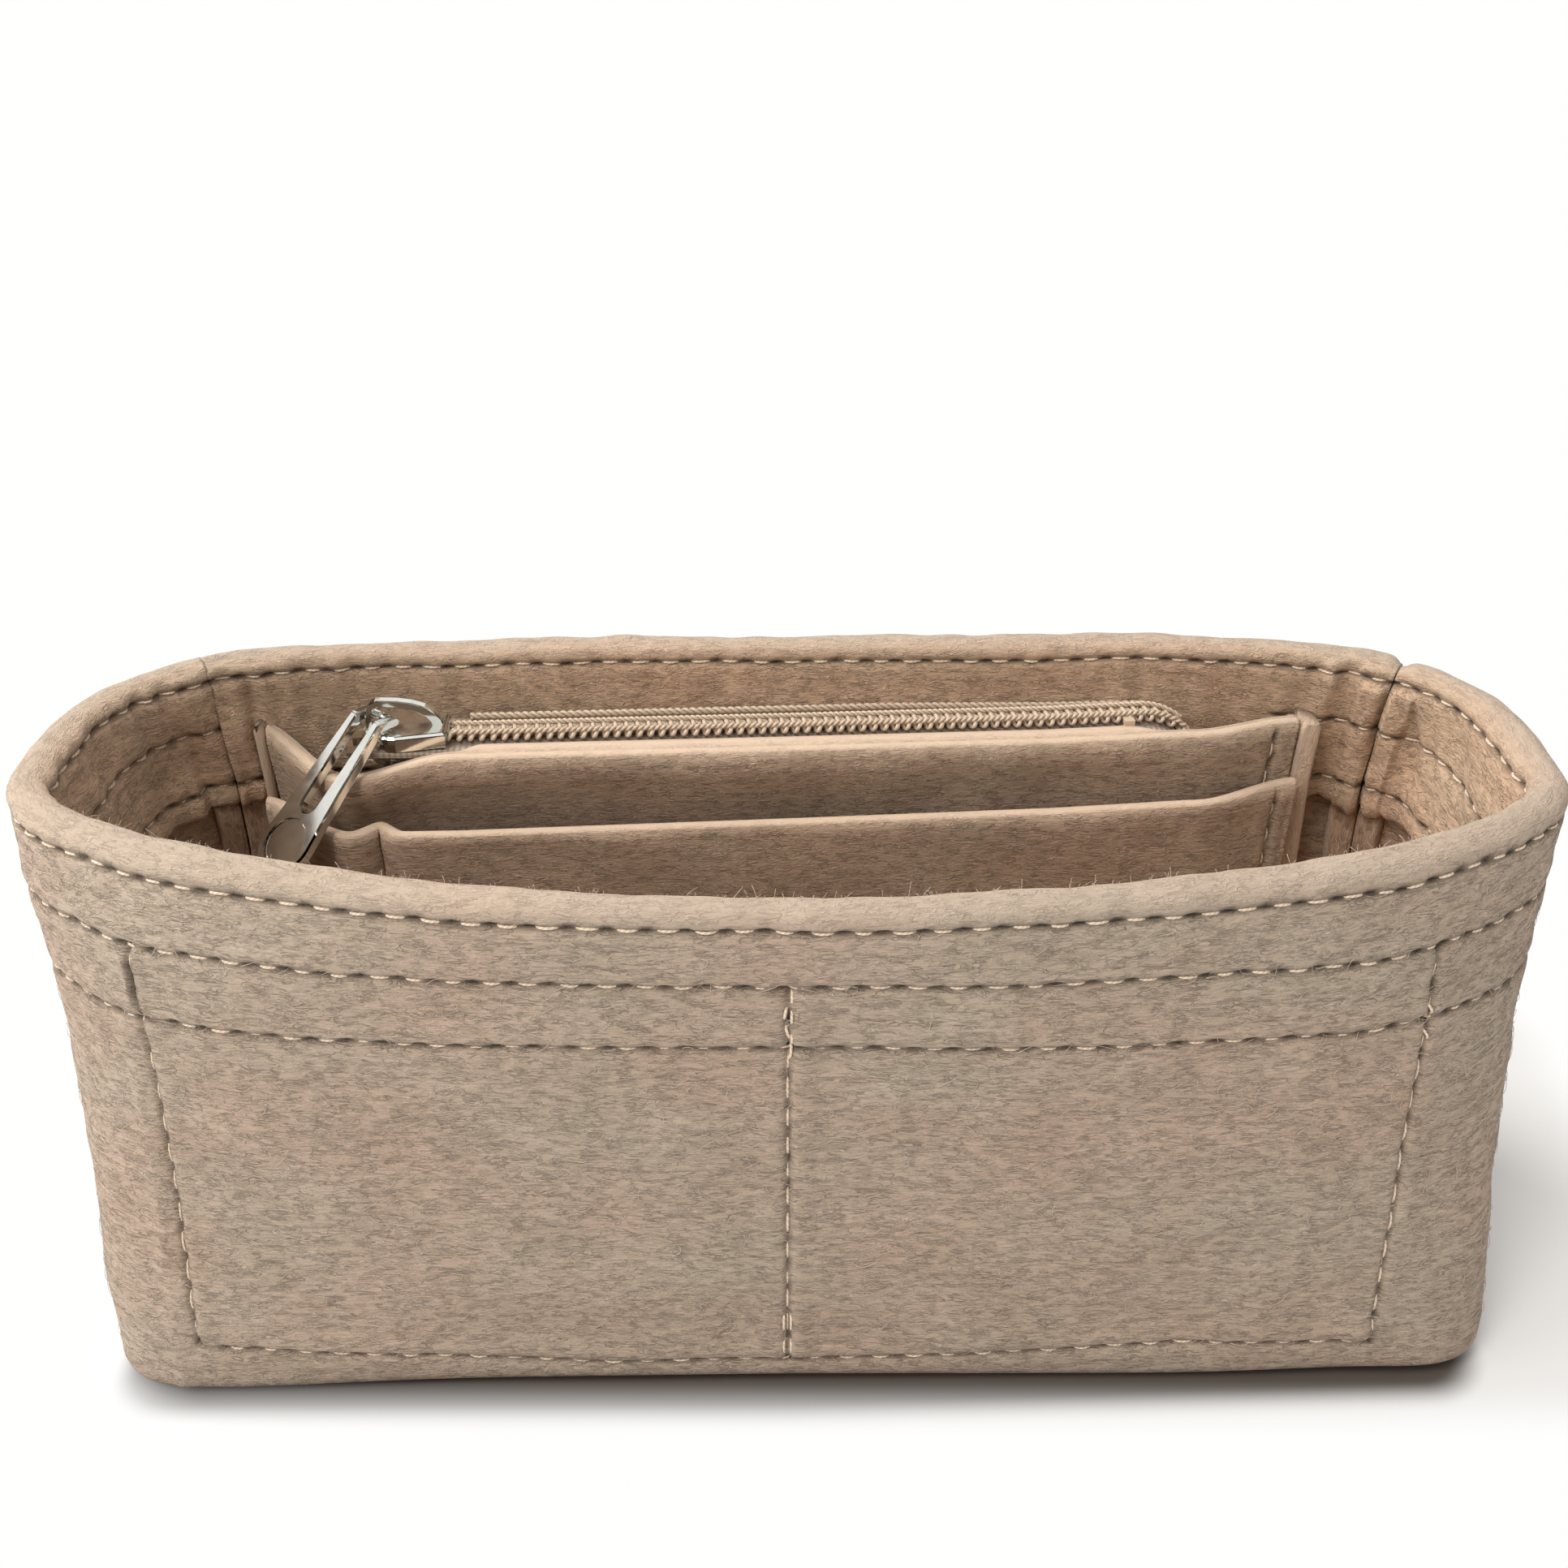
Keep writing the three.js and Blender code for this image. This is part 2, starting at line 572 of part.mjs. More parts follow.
function uprightPanel(topY, topZ, footInset, leanPower) {
  const low = FELT + POCKET_FLOOR_GAP;
  const fromX = SEAM_GAP - POCKET_END_LEFT_X;
  const toX = POCKET_END_RIGHT_X - SEAM_GAP;
  const xs = Array.from({ length: PANEL_STATIONS + 1 }, (_, i) => mix(fromX, toX, i / PANEL_STATIONS));
  const faceY = (x, heightShare) => {
    const foot = backFaceY(x, low, FOLD_THICKNESS) - footInset;
    const leanShare = clampShare(heightShare / PANEL_UPRIGHT_SHARE) ** leanPower;
    return mix(foot, Math.min(foot, topY(x)), leanShare);
  };
  const loops = xs.map((x) => {
    const back = [];
    const front = [];
    const isEnd = x === fromX || x === toX;
    for (const heightShare of PANEL_HEIGHT_SHARES) {
      const height = mix(low, topZ(x), heightShare);
      const rise = faceY(x + FELT, heightShare) - faceY(x - FELT, heightShare);
      const turn = isEnd ? 0 : rise / (2 * FELT);
      const length = Math.hypot(1, turn);
      const y = faceY(x, heightShare);
      back.push(new THREE.Vector3(x, y, height));
      front.push(new THREE.Vector3(x + (FELT * turn) / length, y - FELT / length, height));
    }
    return [...back, ...front.reverse()];
  });
  return loftSolid(loops, loops[0].map((point) => new THREE.Vector2(-point.y, point.z)));
}

function zipPanel() {
  return uprightPanel(zipPanelTopY, zipPanelTopZ, SEAM_GAP, ZIP_PANEL_LEAN_POWER);
}

function slipPocketPanel() {
  return uprightPanel(slipPanelTopY, slipPanelTopZ, FELT + 2 * SEAM_GAP, SLIP_PANEL_LEAN_POWER);
}

// Strip that binds the back pockets' ends to the wall: one layer at the left, folded double at the right
const END_STRIP_LEVEL_SHARES = [0, 0.5, 1];

function pocketEndStrip(side) {
  const innerX = side < 0 ? -POCKET_END_LEFT_X : POCKET_END_RIGHT_X;
  const width = side < 0 ? END_STRIP_FELT : 2 * END_STRIP_FELT + FOLD_SLIT;
  const low = FELT + POCKET_FLOOR_GAP;
  const loops = END_STRIP_LEVEL_SHARES.map((share) => {
    const height = mix(low, END_STRIP_TOP, share);
    const backY = (across) => backFaceY(innerX + side * across, height, FOLD_THICKNESS) - SEAM_GAP;
    const at = (across, y) => new THREE.Vector3(innerX + side * across, y, height);
    const slitY = backY(width) - END_STRIP_FELT / 2;
    const slit = [
      at(END_STRIP_FELT + FOLD_SLIT, END_STRIP_FRONT_Y),
      at(END_STRIP_FELT + FOLD_SLIT, slitY),
      at(END_STRIP_FELT, slitY),
      at(END_STRIP_FELT, END_STRIP_FRONT_Y),
    ];
    return [
      at(0, END_STRIP_FRONT_Y),
      at(0, backY(0)),
      at(width, backY(width)),
      at(width, END_STRIP_FRONT_Y),
      ...(side < 0 ? [] : slit),
    ];
  });
  return loftSolid(loops, loops[0].map((point) => new THREE.Vector2(point.x, point.y)));
}

// How the zip departs from a straight line: parted at the slider's nose, diving at its right end
function zipParting(x) {
  return ZIP_PARTING * easeShare((SLIDER_X - x) / ZIP_PARTING_LENGTH + ZIP_PARTING_LEAD_SHARE);
}

function zipDive(x) {
  const rightShare = clampShare((x - ZIP_DIVE_START) / (ZIP_RIGHT_END - ZIP_DIVE_START));
  const leftShare = easeShare((ZIP_TUCK_START - x) / (ZIP_TUCK_START - ZIP_LEFT_END));
  const depthShare = rightShare * rightShare;
  return {
    drop: ZIP_DIVE_DEPTH * depthShare + ZIP_TUCK_DEPTH * leftShare,
    forward: ZIP_DIVE_FORWARD * depthShare,
    narrowing: ZIP_DIVE_NARROWING * depthShare,
  };
}

// How far a half of the tape reaches from the zip's middle: up to the facing, or up to the zip panel
function tapeReach(side, x) {
  const facingY = backFaceY(x, HEIGHT - FACING_DROP / 2, FOLD_THICKNESS);
  const room = side > 0 ? facingY - zipY(x) : zipY(x) - zipPanelTopY(x);
  const { forward, narrowing } = zipDive(x);
  const widest = side > 0 ? TAPE_BACK_REACH : TAPE_FRONT_REACH;
  const free = Math.min(widest, room - 2 * SEAM_GAP + side * forward);
  return Math.max(free - narrowing, TAPE_SPLIT + 2 * TAPE_THICKNESS);
}

// Half of the zip tape: flat strip with a corded edge, turned down to be sewn; side +1 is the back
const TAPE_STATIONS = 40;
const TAPE_LEG_FROM_END = 18;
const TAPE_LEG_LEFT = ZIP_LEFT_END + TAPE_LEG_FROM_END;
const TAPE_LEG_FADE = 3;

function zipTape(side) {
  const low = TAPE_TOP_Z - TAPE_THICKNESS;
  const shares = Array.from({ length: TAPE_STATIONS + 1 }, (_, i) => i / TAPE_STATIONS);
  const xs = shares.map((share) => mix(ZIP_LEFT_END, ZIP_RIGHT_END, share));
  const fullLeg = side > 0 ? TAPE_BACK_LEG : TAPE_FRONT_LEG;
  const loops = xs.map((x) => {
    const { drop, forward } = zipDive(x);
    const inner = TAPE_SPLIT + zipParting(x);
    const legStartShare = easeShare((x - TAPE_LEG_LEFT) / TAPE_LEG_FADE);
    const legEndShare = easeShare((ZIP_DIVE_START - x) / TAPE_LEG_FADE);
    const legFoot = low - TAPE_BEAD / 2 - fullLeg * legStartShare * legEndShare;
    const bead = TAPE_BEAD * legStartShare * legEndShare;
    const legOuter = tapeReach(side, x);
    const legInner = legOuter - TAPE_THICKNESS;
    const at = (across, height) => new THREE.Vector3(x, side * across - forward, height - drop);
    return [
      at(inner, TAPE_TOP_Z),
      at(legInner, TAPE_TOP_Z),
      at(legInner + TAPE_BEAD / 2, TAPE_TOP_Z + bead),
      at(legOuter, TAPE_TOP_Z + bead),
      at(legOuter, legFoot),
      at(legInner, legFoot),
      at(legInner, low),
      at(inner, low),
    ];
  });
  return loftSolid(loops, loops[0].map((point) => new THREE.Vector2(point.y, point.z)));
}

// Half of the zip's chain: one unbroken coil of flattened loops whose heads pass between those of the
// other half. The loops stand half a pitch apart.
const COIL_CENTRE_Z = TAPE_TOP_Z + COIL_GAP + COIL_WIRE / 2 + COIL_LOOP_RISE;
const COIL_LEFT_END = SLIDER_X - SLIDER_NOSE - ZIP_PITCH / 3;
const COIL_RIGHT_END = ZIP_RIGHT_END - 2 * ZIP_PITCH;

class CoilCurve extends THREE.Curve {
  constructor(side) {
    super();
    this.side = side;
    this.turns = Math.floor((COIL_RIGHT_END - COIL_LEFT_END) / ZIP_PITCH);
  }

  getPoint(share, target = new THREE.Vector3()) {
    const turn = share * this.turns;
    const angle = 2 * Math.PI * turn;
    const offset = this.side > 0 ? 0 : ZIP_PITCH / 2;
    const x = COIL_LEFT_END + offset + turn * ZIP_PITCH;
    const { drop, forward } = zipDive(x);
    const across = COIL_LOOP_CENTRE + COIL_LOOP_REACH * Math.cos(angle) + zipParting(x);
    const height = COIL_CENTRE_Z + COIL_LOOP_RISE * Math.sin(angle);
    return target.set(x, this.side * across - forward, height - drop);
  }
}

function zipCoil(side) {
  const curve = new CoilCurve(side);
  const count = curve.turns * COIL_STEPS;
  const centres = Array.from({ length: count + 1 }, (_, i) => curve.getPoint(i / count));
  const loops = centres.map((centre, i) => {
    const before = centres[Math.max(0, i - 1)];
    const after = centres[Math.min(count, i + 1)];
    const tangent = after.clone().sub(before).normalize();
    const along = new THREE.Vector3(1, 0, 0).addScaledVector(tangent, -tangent.x).normalize();
    const across = new THREE.Vector3().crossVectors(tangent, along);
    return Array.from({ length: COIL_SIDES }, (_, corner) => {
      const angle = (2 * Math.PI * corner) / COIL_SIDES;
      return centre.clone()
        .addScaledVector(along, (COIL_WIRE / 2) * Math.cos(angle))
        .addScaledVector(across, (COIL_WIRE / 2) * Math.sin(angle));
    });
  });
  const cap = Array.from({ length: COIL_SIDES }, (_, corner) => {
    const angle = (2 * Math.PI * corner) / COIL_SIDES;
    return new THREE.Vector2(Math.cos(angle), Math.sin(angle));
  });
  return loftSolid(loops, cap);
}

// Least gap between and within the two coils, measured on their centre points
function leastCoilGap() {
  const pointsOf = (side) => {
    const curve = new CoilCurve(side);
    const count = curve.turns * COIL_STEPS;
    return Array.from({ length: count + 1 }, (_, i) => curve.getPoint(i / count));
  };
  const back = pointsOf(1);
  const front = pointsOf(-1);
  let least = Infinity;
  for (const point of back) {
    for (const other of front) {
      if (Math.abs(point.x - other.x) < ZIP_PITCH) least = Math.min(least, point.distanceTo(other));
    }
  }
  for (let i = 0; i < back.length; i += 1) {
    for (let j = i + COIL_STEPS / 2 + 1; j < Math.min(back.length, i + 2 * COIL_STEPS); j += 1) {
      least = Math.min(least, back[i].distanceTo(back[j]));
    }
  }
  return least - COIL_WIRE;
}

// Top stop clamped round the inner edge of one tape, against the coil's end
function zipTopStop(side) {
  const centreX = COIL_LEFT_END - ZIP_PITCH / 2 - STOP_LENGTH / 2;
  const inner = TAPE_SPLIT + zipParting(centreX) - SEAM_GAP;
  const { drop } = zipDive(centreX - STOP_LENGTH / 2);
  const low = TAPE_TOP_Z - TAPE_THICKNESS - SEAM_GAP - drop;
  const high = TAPE_TOP_Z + SEAM_GAP - zipDive(centreX + STOP_LENGTH / 2).drop;
  const reach = inner + STOP_GRIP;
  const section = [
    [inner - STOP_WALL, low - STOP_WALL],
    [reach, low - STOP_WALL],
    [reach, low],
    [inner, low],
    [inner, high],
    [reach, high],
    [reach, high + STOP_WALL],
    [inner - STOP_WALL, high + STOP_WALL],
  ];
  const outline = section.map(([across, height]) => new THREE.Vector2(side * across, height));
  const ends = [centreX - STOP_LENGTH / 2, centreX + STOP_LENGTH / 2];
  const loops = ends.map((x) => outline.map((point) => new THREE.Vector3(x, point.x, point.y)));
  return loftSolid(loops, outline);
}

// Bottom stop: a staple over the closed coils that ends the slider's travel
function zipBottomStop() {
  const coilHalfWidth = COIL_LOOP_CENTRE + COIL_LOOP_REACH + COIL_WIRE / 2;
  const coilTop = COIL_CENTRE_Z + COIL_LOOP_RISE + COIL_WIRE / 2;
  const inner = coilHalfWidth + SEAM_GAP;
  const outer = inner + STOP_WALL;
  const foot = TAPE_TOP_Z + TAPE_BEAD + SEAM_GAP;
  const roof = coilTop + SEAM_GAP;
  const section = [
    [-outer, foot],
    [-inner, foot],
    [-inner, roof],
    [inner, roof],
    [inner, foot],
    [outer, foot],
    [outer, roof + STOP_WALL],
    [-outer, roof + STOP_WALL],
  ];
  const outline = section.map(([across, height]) => new THREE.Vector2(across, height));
  const startX = SLIDER_X + SLIDER_TRAVEL + SLIDER_TAIL + SLIDER_CLEARANCE;
  const ends = [startX, startX + STOP_LENGTH];
  const loops = ends.map((x) => outline.map((point) => new THREE.Vector3(x, point.x, point.y)));
  return loftSolid(loops, outline);
}

// Slider heights, from the coil and the tape that it runs on
const COIL_TOP_Z = COIL_CENTRE_Z + COIL_LOOP_RISE + COIL_WIRE / 2;
const UPPER_PLATE_LOW = COIL_TOP_Z + SLIDER_CLEARANCE;
const UPPER_PLATE_TOP = UPPER_PLATE_LOW + PLATE_THICKNESS;
const LOWER_PLATE_TOP = TAPE_TOP_Z - TAPE_THICKNESS - SLIDER_CLEARANCE;
const LOWER_PLATE_LOW = LOWER_PLATE_TOP - PLATE_THICKNESS;
const PIVOT_Z = UPPER_PLATE_TOP + PIVOT_RISE;

// Plan outline of a slider plate: narrow tail, wide shoulders, rounded nose
function plateOutline(shoulderHalfWidth, tailHalfWidth, noseHalfWidth, shrink) {
  const shape = new THREE.Shape();
  const nose = -SLIDER_NOSE + shrink;
  const tail = SLIDER_TAIL - shrink;
  const shoulder = shoulderHalfWidth - shrink;
  const tailSide = tailHalfWidth - shrink;
  const noseSide = noseHalfWidth - shrink;
  shape.moveTo(tail, -tailSide);
  shape.lineTo(tail, tailSide);
  shape.lineTo(SHOULDER_X, shoulder);
  shape.quadraticCurveTo(nose + noseSide, shoulder, nose, noseSide);
  shape.lineTo(nose, -noseSide);
  shape.quadraticCurveTo(nose + noseSide, -shoulder, SHOULDER_X, -shoulder);
  return shape.getPoints(PLATE_CURVE_STEPS);
}

function bevelledPlate(outlineOf, low, high, bevelTop) {
  const levels = bevelTop
    ? [[low, 0], [high - PLATE_BEVEL, 0], [high, PLATE_BEVEL]]
    : [[low, PLATE_BEVEL], [low + PLATE_BEVEL, 0], [high, 0]];
  const loops = levels.map(([height, shrink]) => {
    return outlineOf(shrink).map((point) => new THREE.Vector3(point.x, point.y, height));
  });
  return loftSolid(loops, outlineOf(0));
}

// Side flange of the upper plate: follows the Y channel from the tail to the shoulder
function plateFlange(side) {
  const outlinePoints = [
    [SLIDER_TAIL, TAIL_HALF_WIDTH],
    [SHOULDER_X, SHOULDER_HALF_WIDTH],
    [-SLIDER_NOSE / 2, SHOULDER_HALF_WIDTH - PLATE_BEVEL],
    [-SLIDER_NOSE / 2, SHOULDER_HALF_WIDTH - FLANGE_WALL],
    [SHOULDER_X, SHOULDER_HALF_WIDTH - FLANGE_WALL],
    [SLIDER_TAIL, TAIL_HALF_WIDTH - FLANGE_WALL],
  ];
  const outline = outlinePoints.map(([x, across]) => new THREE.Vector2(x, side * across));
  return prism(outline, UPPER_PLATE_LOW - FLANGE_DROP, UPPER_PLATE_LOW + PLATE_THICKNESS / 2);
}

// Post that joins the plates and parts the coils
function sliderPost() {
  const shape = new THREE.Shape();
  const front = -SLIDER_NOSE + POST_HALF_WIDTH;
  const rear = front + POST_LENGTH;
  const middle = mix(front, rear, POST_WIDEST_SHARE);
  shape.moveTo(front, 0);
  shape.quadraticCurveTo(front, -POST_HALF_WIDTH, middle, -POST_HALF_WIDTH);
  shape.lineTo(rear, 0);
  shape.lineTo(middle, POST_HALF_WIDTH);
  shape.quadraticCurveTo(front, POST_HALF_WIDTH, front, 0);
  const low = LOWER_PLATE_TOP - PLATE_THICKNESS / 2;
  return prism(shape.getPoints(POST_CURVE_STEPS), low, UPPER_PLATE_LOW + PLATE_THICKNESS / 2);
}

// Crown: the arched bridge over the upper plate that holds the pull
function sliderCrown() {
  const foot = UPPER_PLATE_TOP - PLATE_THICKNESS / 2;
  const top = UPPER_PLATE_TOP + CROWN_TOP_RISE;
  const left = -SLIDER_NOSE;
  const right = SLIDER_TAIL - PLATE_BEVEL;
  const shape = new THREE.Shape();
  shape.moveTo(left, foot);
  shape.lineTo(left + CROWN_BAND, foot);
  shape.lineTo(left + CROWN_BAND, PIVOT_Z);
  shape.quadraticCurveTo(left + CROWN_BAND, top - CROWN_BAND, left + CROWN_BEND, top - CROWN_BAND);
  shape.quadraticCurveTo(right - CROWN_BEND, top - CROWN_BAND, right - CROWN_TAIL_BAND, foot);
  shape.lineTo(right, foot);
  shape.quadraticCurveTo(right - CROWN_BAND, top, left + CROWN_BEND, top);
  shape.quadraticCurveTo(left, top, left, PIVOT_Z);
  const settings = { depth: CROWN_WIDTH, bevelEnabled: false, curveSegments: CROWN_CURVE_STEPS };
  const geometry = new THREE.ExtrudeGeometry(shape, settings);
  geometry.translate(0, 0, -CROWN_WIDTH / 2);
  geometry.rotateX(Math.PI / 2);
  return geometry;
}

function sliderBody() {
  const upper = (shrink) => plateOutline(SHOULDER_HALF_WIDTH, TAIL_HALF_WIDTH, NOSE_HALF_WIDTH, shrink);
  const lowerTail = TAIL_HALF_WIDTH - FLANGE_WALL;
  const lower = (shrink) => plateOutline(LOWER_PLATE_HALF_WIDTH, lowerTail, NOSE_HALF_WIDTH, shrink);
  return join([
    bevelledPlate(upper, UPPER_PLATE_LOW, UPPER_PLATE_TOP, true),
    bevelledPlate(lower, LOWER_PLATE_LOW, LOWER_PLATE_TOP, false),
    plateFlange(1),
    plateFlange(-1),
    sliderPost(),
    sliderCrown(),
  ]);
}

// Pull in its own frame: hinge bar along Y at the origin, level arms along +X, then the blade, which
// bends down so that the pull clears the slider's shoulders
const PULL_HEAD_SHARE = 0.9;

function pullBlade() {
  const eyeSide = PULL_EYE_HALF_WIDTH + PULL_ARM_WIDTH;
  const padX = PULL_LENGTH - PULL_CRANK;
  const waist = padX - PULL_PAD_RADIUS;
  const waistSide = PULL_PAD_RADIUS * PULL_HEAD_SHARE;
  const slotEnd = waist - PULL_SLOT_END_RADIUS;
  const padStart = Math.PI - Math.acos(1 - PULL_HEAD_SHARE);
  const shape = new THREE.Shape();
  shape.moveTo(0, PULL_EYE_HALF_WIDTH);
  shape.lineTo(0, eyeSide);
  shape.lineTo(waist, waistSide);
  shape.absarc(padX, 0, PULL_PAD_RADIUS, padStart, -padStart, true);
  shape.lineTo(waist, -waistSide);
  shape.lineTo(0, -eyeSide);
  shape.lineTo(0, -PULL_EYE_HALF_WIDTH);
  shape.lineTo(slotEnd, -PULL_SLOT_END_RADIUS);
  shape.absarc(slotEnd, 0, PULL_SLOT_END_RADIUS, -Math.PI / 2, Math.PI / 2, false);
  const settings = { depth: PULL_THICKNESS, bevelEnabled: false, curveSegments: PULL_CURVE_STEPS };
  const blade = new THREE.ExtrudeGeometry(shape, settings);
  blade.translate(0, 0, -PULL_THICKNESS / 2);
  const recessRadius = PULL_PAD_RADIUS - PULL_PAD_STEP;
  const recess = new THREE.CylinderGeometry(recessRadius, recessRadius, 2 * PULL_PAD_RECESS, PAD_SIDES);
  recess.rotateX(Math.PI / 2);
  recess.translate(padX, 0, PULL_THICKNESS / 2);
  const pressed = cut(blade, [recess]);
  pressed.rotateY(PULL_SLOPE_DEG * DEG);
  pressed.translate(PULL_CRANK, 0, 0);
  return pressed;
}

function pullArm(side) {
  const middle = side * (PULL_EYE_HALF_WIDTH + PULL_ARM_WIDTH / 2);
  const arm = new THREE.BoxGeometry(PULL_CRANK, PULL_ARM_WIDTH, PULL_THICKNESS);
  arm.translate(PULL_CRANK / 2, middle, 0);
  const knuckles = [0, PULL_CRANK].map((x) => {
    const radius = PULL_THICKNESS / 2;
    const knuckle = new THREE.CylinderGeometry(radius, radius, PULL_ARM_WIDTH, KNUCKLE_SIDES);
    knuckle.translate(x, middle, 0);
    return knuckle;
  });
  return join([arm, ...knuckles]);
}

function zipPull() {
  const barLength = 2 * PULL_EYE_HALF_WIDTH + OVERRUN;
  const bar = new THREE.CylinderGeometry(PULL_BAR_RADIUS, PULL_BAR_RADIUS, barLength, BAR_SIDES);
  return join([pullBlade(), pullArm(1), pullArm(-1), bar]);
}

// Assembly
const organizer = new THREE.Group();

function addMesh(parent, name, geometry, material) {
  const clean = geometry.clone();
  clean.deleteAttribute('normal');
  clean.deleteAttribute('uv');
  const mesh = new THREE.Mesh(mergeVertices(clean, MERGE_TOLERANCE), material);
  mesh.geometry.computeVertexNormals();
  mesh.name = name;
  parent.add(mesh);
  return mesh;
}

addMesh(organizer, 'base_panel', basePanel(), FELT_MATERIAL);
addMesh(organizer, 'front_wall', frontWall(), FELT_MATERIAL);
addMesh(organizer, 'back_wall', backWall(), FELT_MATERIAL);
addMesh(organizer, 'front_pocket_panel', frontPocketPanel(), LINING_MATERIAL);
addMesh(organizer, 'zip_panel', zipPanel(), LINING_MATERIAL);
addMesh(organizer, 'slip_pocket_panel', slipPocketPanel(), LINING_MATERIAL);
addMesh(organizer, 'pocket_end_strip_left', pocketEndStrip(-1), LINING_MATERIAL);
addMesh(organizer, 'pocket_end_strip_right', pocketEndStrip(1), LINING_MATERIAL);

const zip = new THREE.Group();
zip.position.set(0, ZIP_CENTRE_Y, 0);
zip.rotation.z = ZIP_YAW_DEG * DEG;
organizer.add(zip);
addMesh(zip, 'zip_tape_back', zipTape(1), TAPE_MATERIAL);
addMesh(zip, 'zip_tape_front', zipTape(-1), TAPE_MATERIAL);
addMesh(zip, 'zip_coil_back', zipCoil(1), COIL_MATERIAL);
addMesh(zip, 'zip_coil_front', zipCoil(-1), COIL_MATERIAL);
addMesh(zip, 'zip_top_stop_back', zipTopStop(1), METAL_MATERIAL);
addMesh(zip, 'zip_top_stop_front', zipTopStop(-1), METAL_MATERIAL);
addMesh(zip, 'zip_bottom_stop', zipBottomStop(), METAL_MATERIAL);

const slider = new THREE.Group();
slider.position.set(SLIDER_X, 0, 0);
zip.add(slider);
addMesh(slider, 'slider_body', sliderBody(), METAL_MATERIAL);

const pull = new THREE.Group();
pull.position.set(PIVOT_X, 0, PIVOT_Z);
pull.rotation.z = (180 + PULL_YAW_DEG - ZIP_YAW_DEG) * DEG;
slider.add(pull);
addMesh(pull, 'zip_pull', zipPull(), METAL_MATERIAL);

console.log(`least gap of the coils ${leastCoilGap().toFixed(3)} mm`);

export default organizer;
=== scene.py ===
# Purse organizer insert of beige felt: the visual model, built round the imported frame.
# Lengths are in millimetres until a mesh is made, which turns them into metres.

import math

import bpy
import numpy as np
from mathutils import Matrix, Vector

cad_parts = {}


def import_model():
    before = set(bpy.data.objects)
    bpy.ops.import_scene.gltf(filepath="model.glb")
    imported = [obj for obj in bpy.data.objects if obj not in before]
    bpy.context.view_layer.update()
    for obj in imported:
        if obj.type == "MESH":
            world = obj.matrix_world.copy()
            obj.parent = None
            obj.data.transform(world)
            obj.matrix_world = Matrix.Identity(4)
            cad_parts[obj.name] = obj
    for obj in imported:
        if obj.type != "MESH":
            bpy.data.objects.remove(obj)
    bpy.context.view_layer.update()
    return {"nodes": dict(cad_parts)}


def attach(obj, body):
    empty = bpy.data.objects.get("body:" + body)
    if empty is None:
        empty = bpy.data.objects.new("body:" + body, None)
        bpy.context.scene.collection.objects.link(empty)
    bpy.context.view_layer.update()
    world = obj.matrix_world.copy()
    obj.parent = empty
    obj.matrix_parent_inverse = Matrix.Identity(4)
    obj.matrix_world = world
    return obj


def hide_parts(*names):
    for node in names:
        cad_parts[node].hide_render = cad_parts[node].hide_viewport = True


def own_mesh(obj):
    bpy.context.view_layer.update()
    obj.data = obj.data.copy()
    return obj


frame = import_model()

MM = 0.001

# Dimensions shared with the CAD model
RIM_LENGTH, RIM_DEPTH, HEIGHT = 214, 83, 82
BASE_LENGTH, BASE_DEPTH = 205, 75
FELT = 2.5
FOLD = 5.3
SEAM_GAP = 0.3
RIM_WIDEST_BACKSET = -4
FACING_DROP = 24
EDGE_RADIUS = 3.2
BASE_HEM = 6
LEFT_SEAM_X, RIGHT_SEAM_X = 91, 95.5
BASE_ROUNDNESS, RIM_FRONT_ROUNDNESS = 7, 1.87
RIM_BACK_LEFT_ROUNDNESS, RIM_BACK_RIGHT_ROUNDNESS = 3.1, 3.9
FLOOR_GAP = 0.9
ZIP_CENTRE_Y, ZIP_YAW_DEG, ZIP_PITCH = 27.3, 2.65, 1.72
ZIP_SLOPE = math.tan(math.radians(ZIP_YAW_DEG))
SLIDER_X = -58.5

# Stitching: heights of the seams on the walls, and the X of the front pocket's upright seams
STITCH_PITCH = 4.8
THREAD_RADIUS = 0.2
RIM_SEAM, FACING_SEAM, FOOT_SEAM = 79.3, 71.0, 61.4
POCKET_SEAM_XS = (-85.0, -0.5, 82.8)

STEPS = 720


def ease(value):
    share = np.clip(value, 0, 1)
    return share * share * (3 - 2 * share)


def mix(start, end, share):
    return start + (end - start) * share


def bell(value, width):
    return np.exp(-(value / width) ** 2)


def unit(vectors):
    return vectors / np.maximum(np.linalg.norm(vectors, axis=-1, keepdims=True), 1e-12)


def lengths_along(line):
    return np.r_[0, np.cumsum(np.linalg.norm(np.diff(line, axis=0), axis=1))]


def along_line(line, at, wanted):
    """Rows of line, which lie at the places at, read between them at the wanted places."""
    return np.stack([np.interp(wanted, at, column) for column in line.T], axis=1)


def soft_noise(a, b, scale, seed):
    """Smooth noise of two coordinates in mm, mostly between -1 and 1."""
    draw = np.random.default_rng(seed)
    total, waves = 0, 14
    for _ in range(waves):
        turn, phase = draw.uniform(0, 2 * math.pi, 2)
        rate = 2 * math.pi / (scale * draw.uniform(0.6, 1.7))
        total = total + np.sin(rate * (a * math.cos(turn) + b * math.sin(turn)) + phase)
    return total / math.sqrt(waves)


# The tub's outline

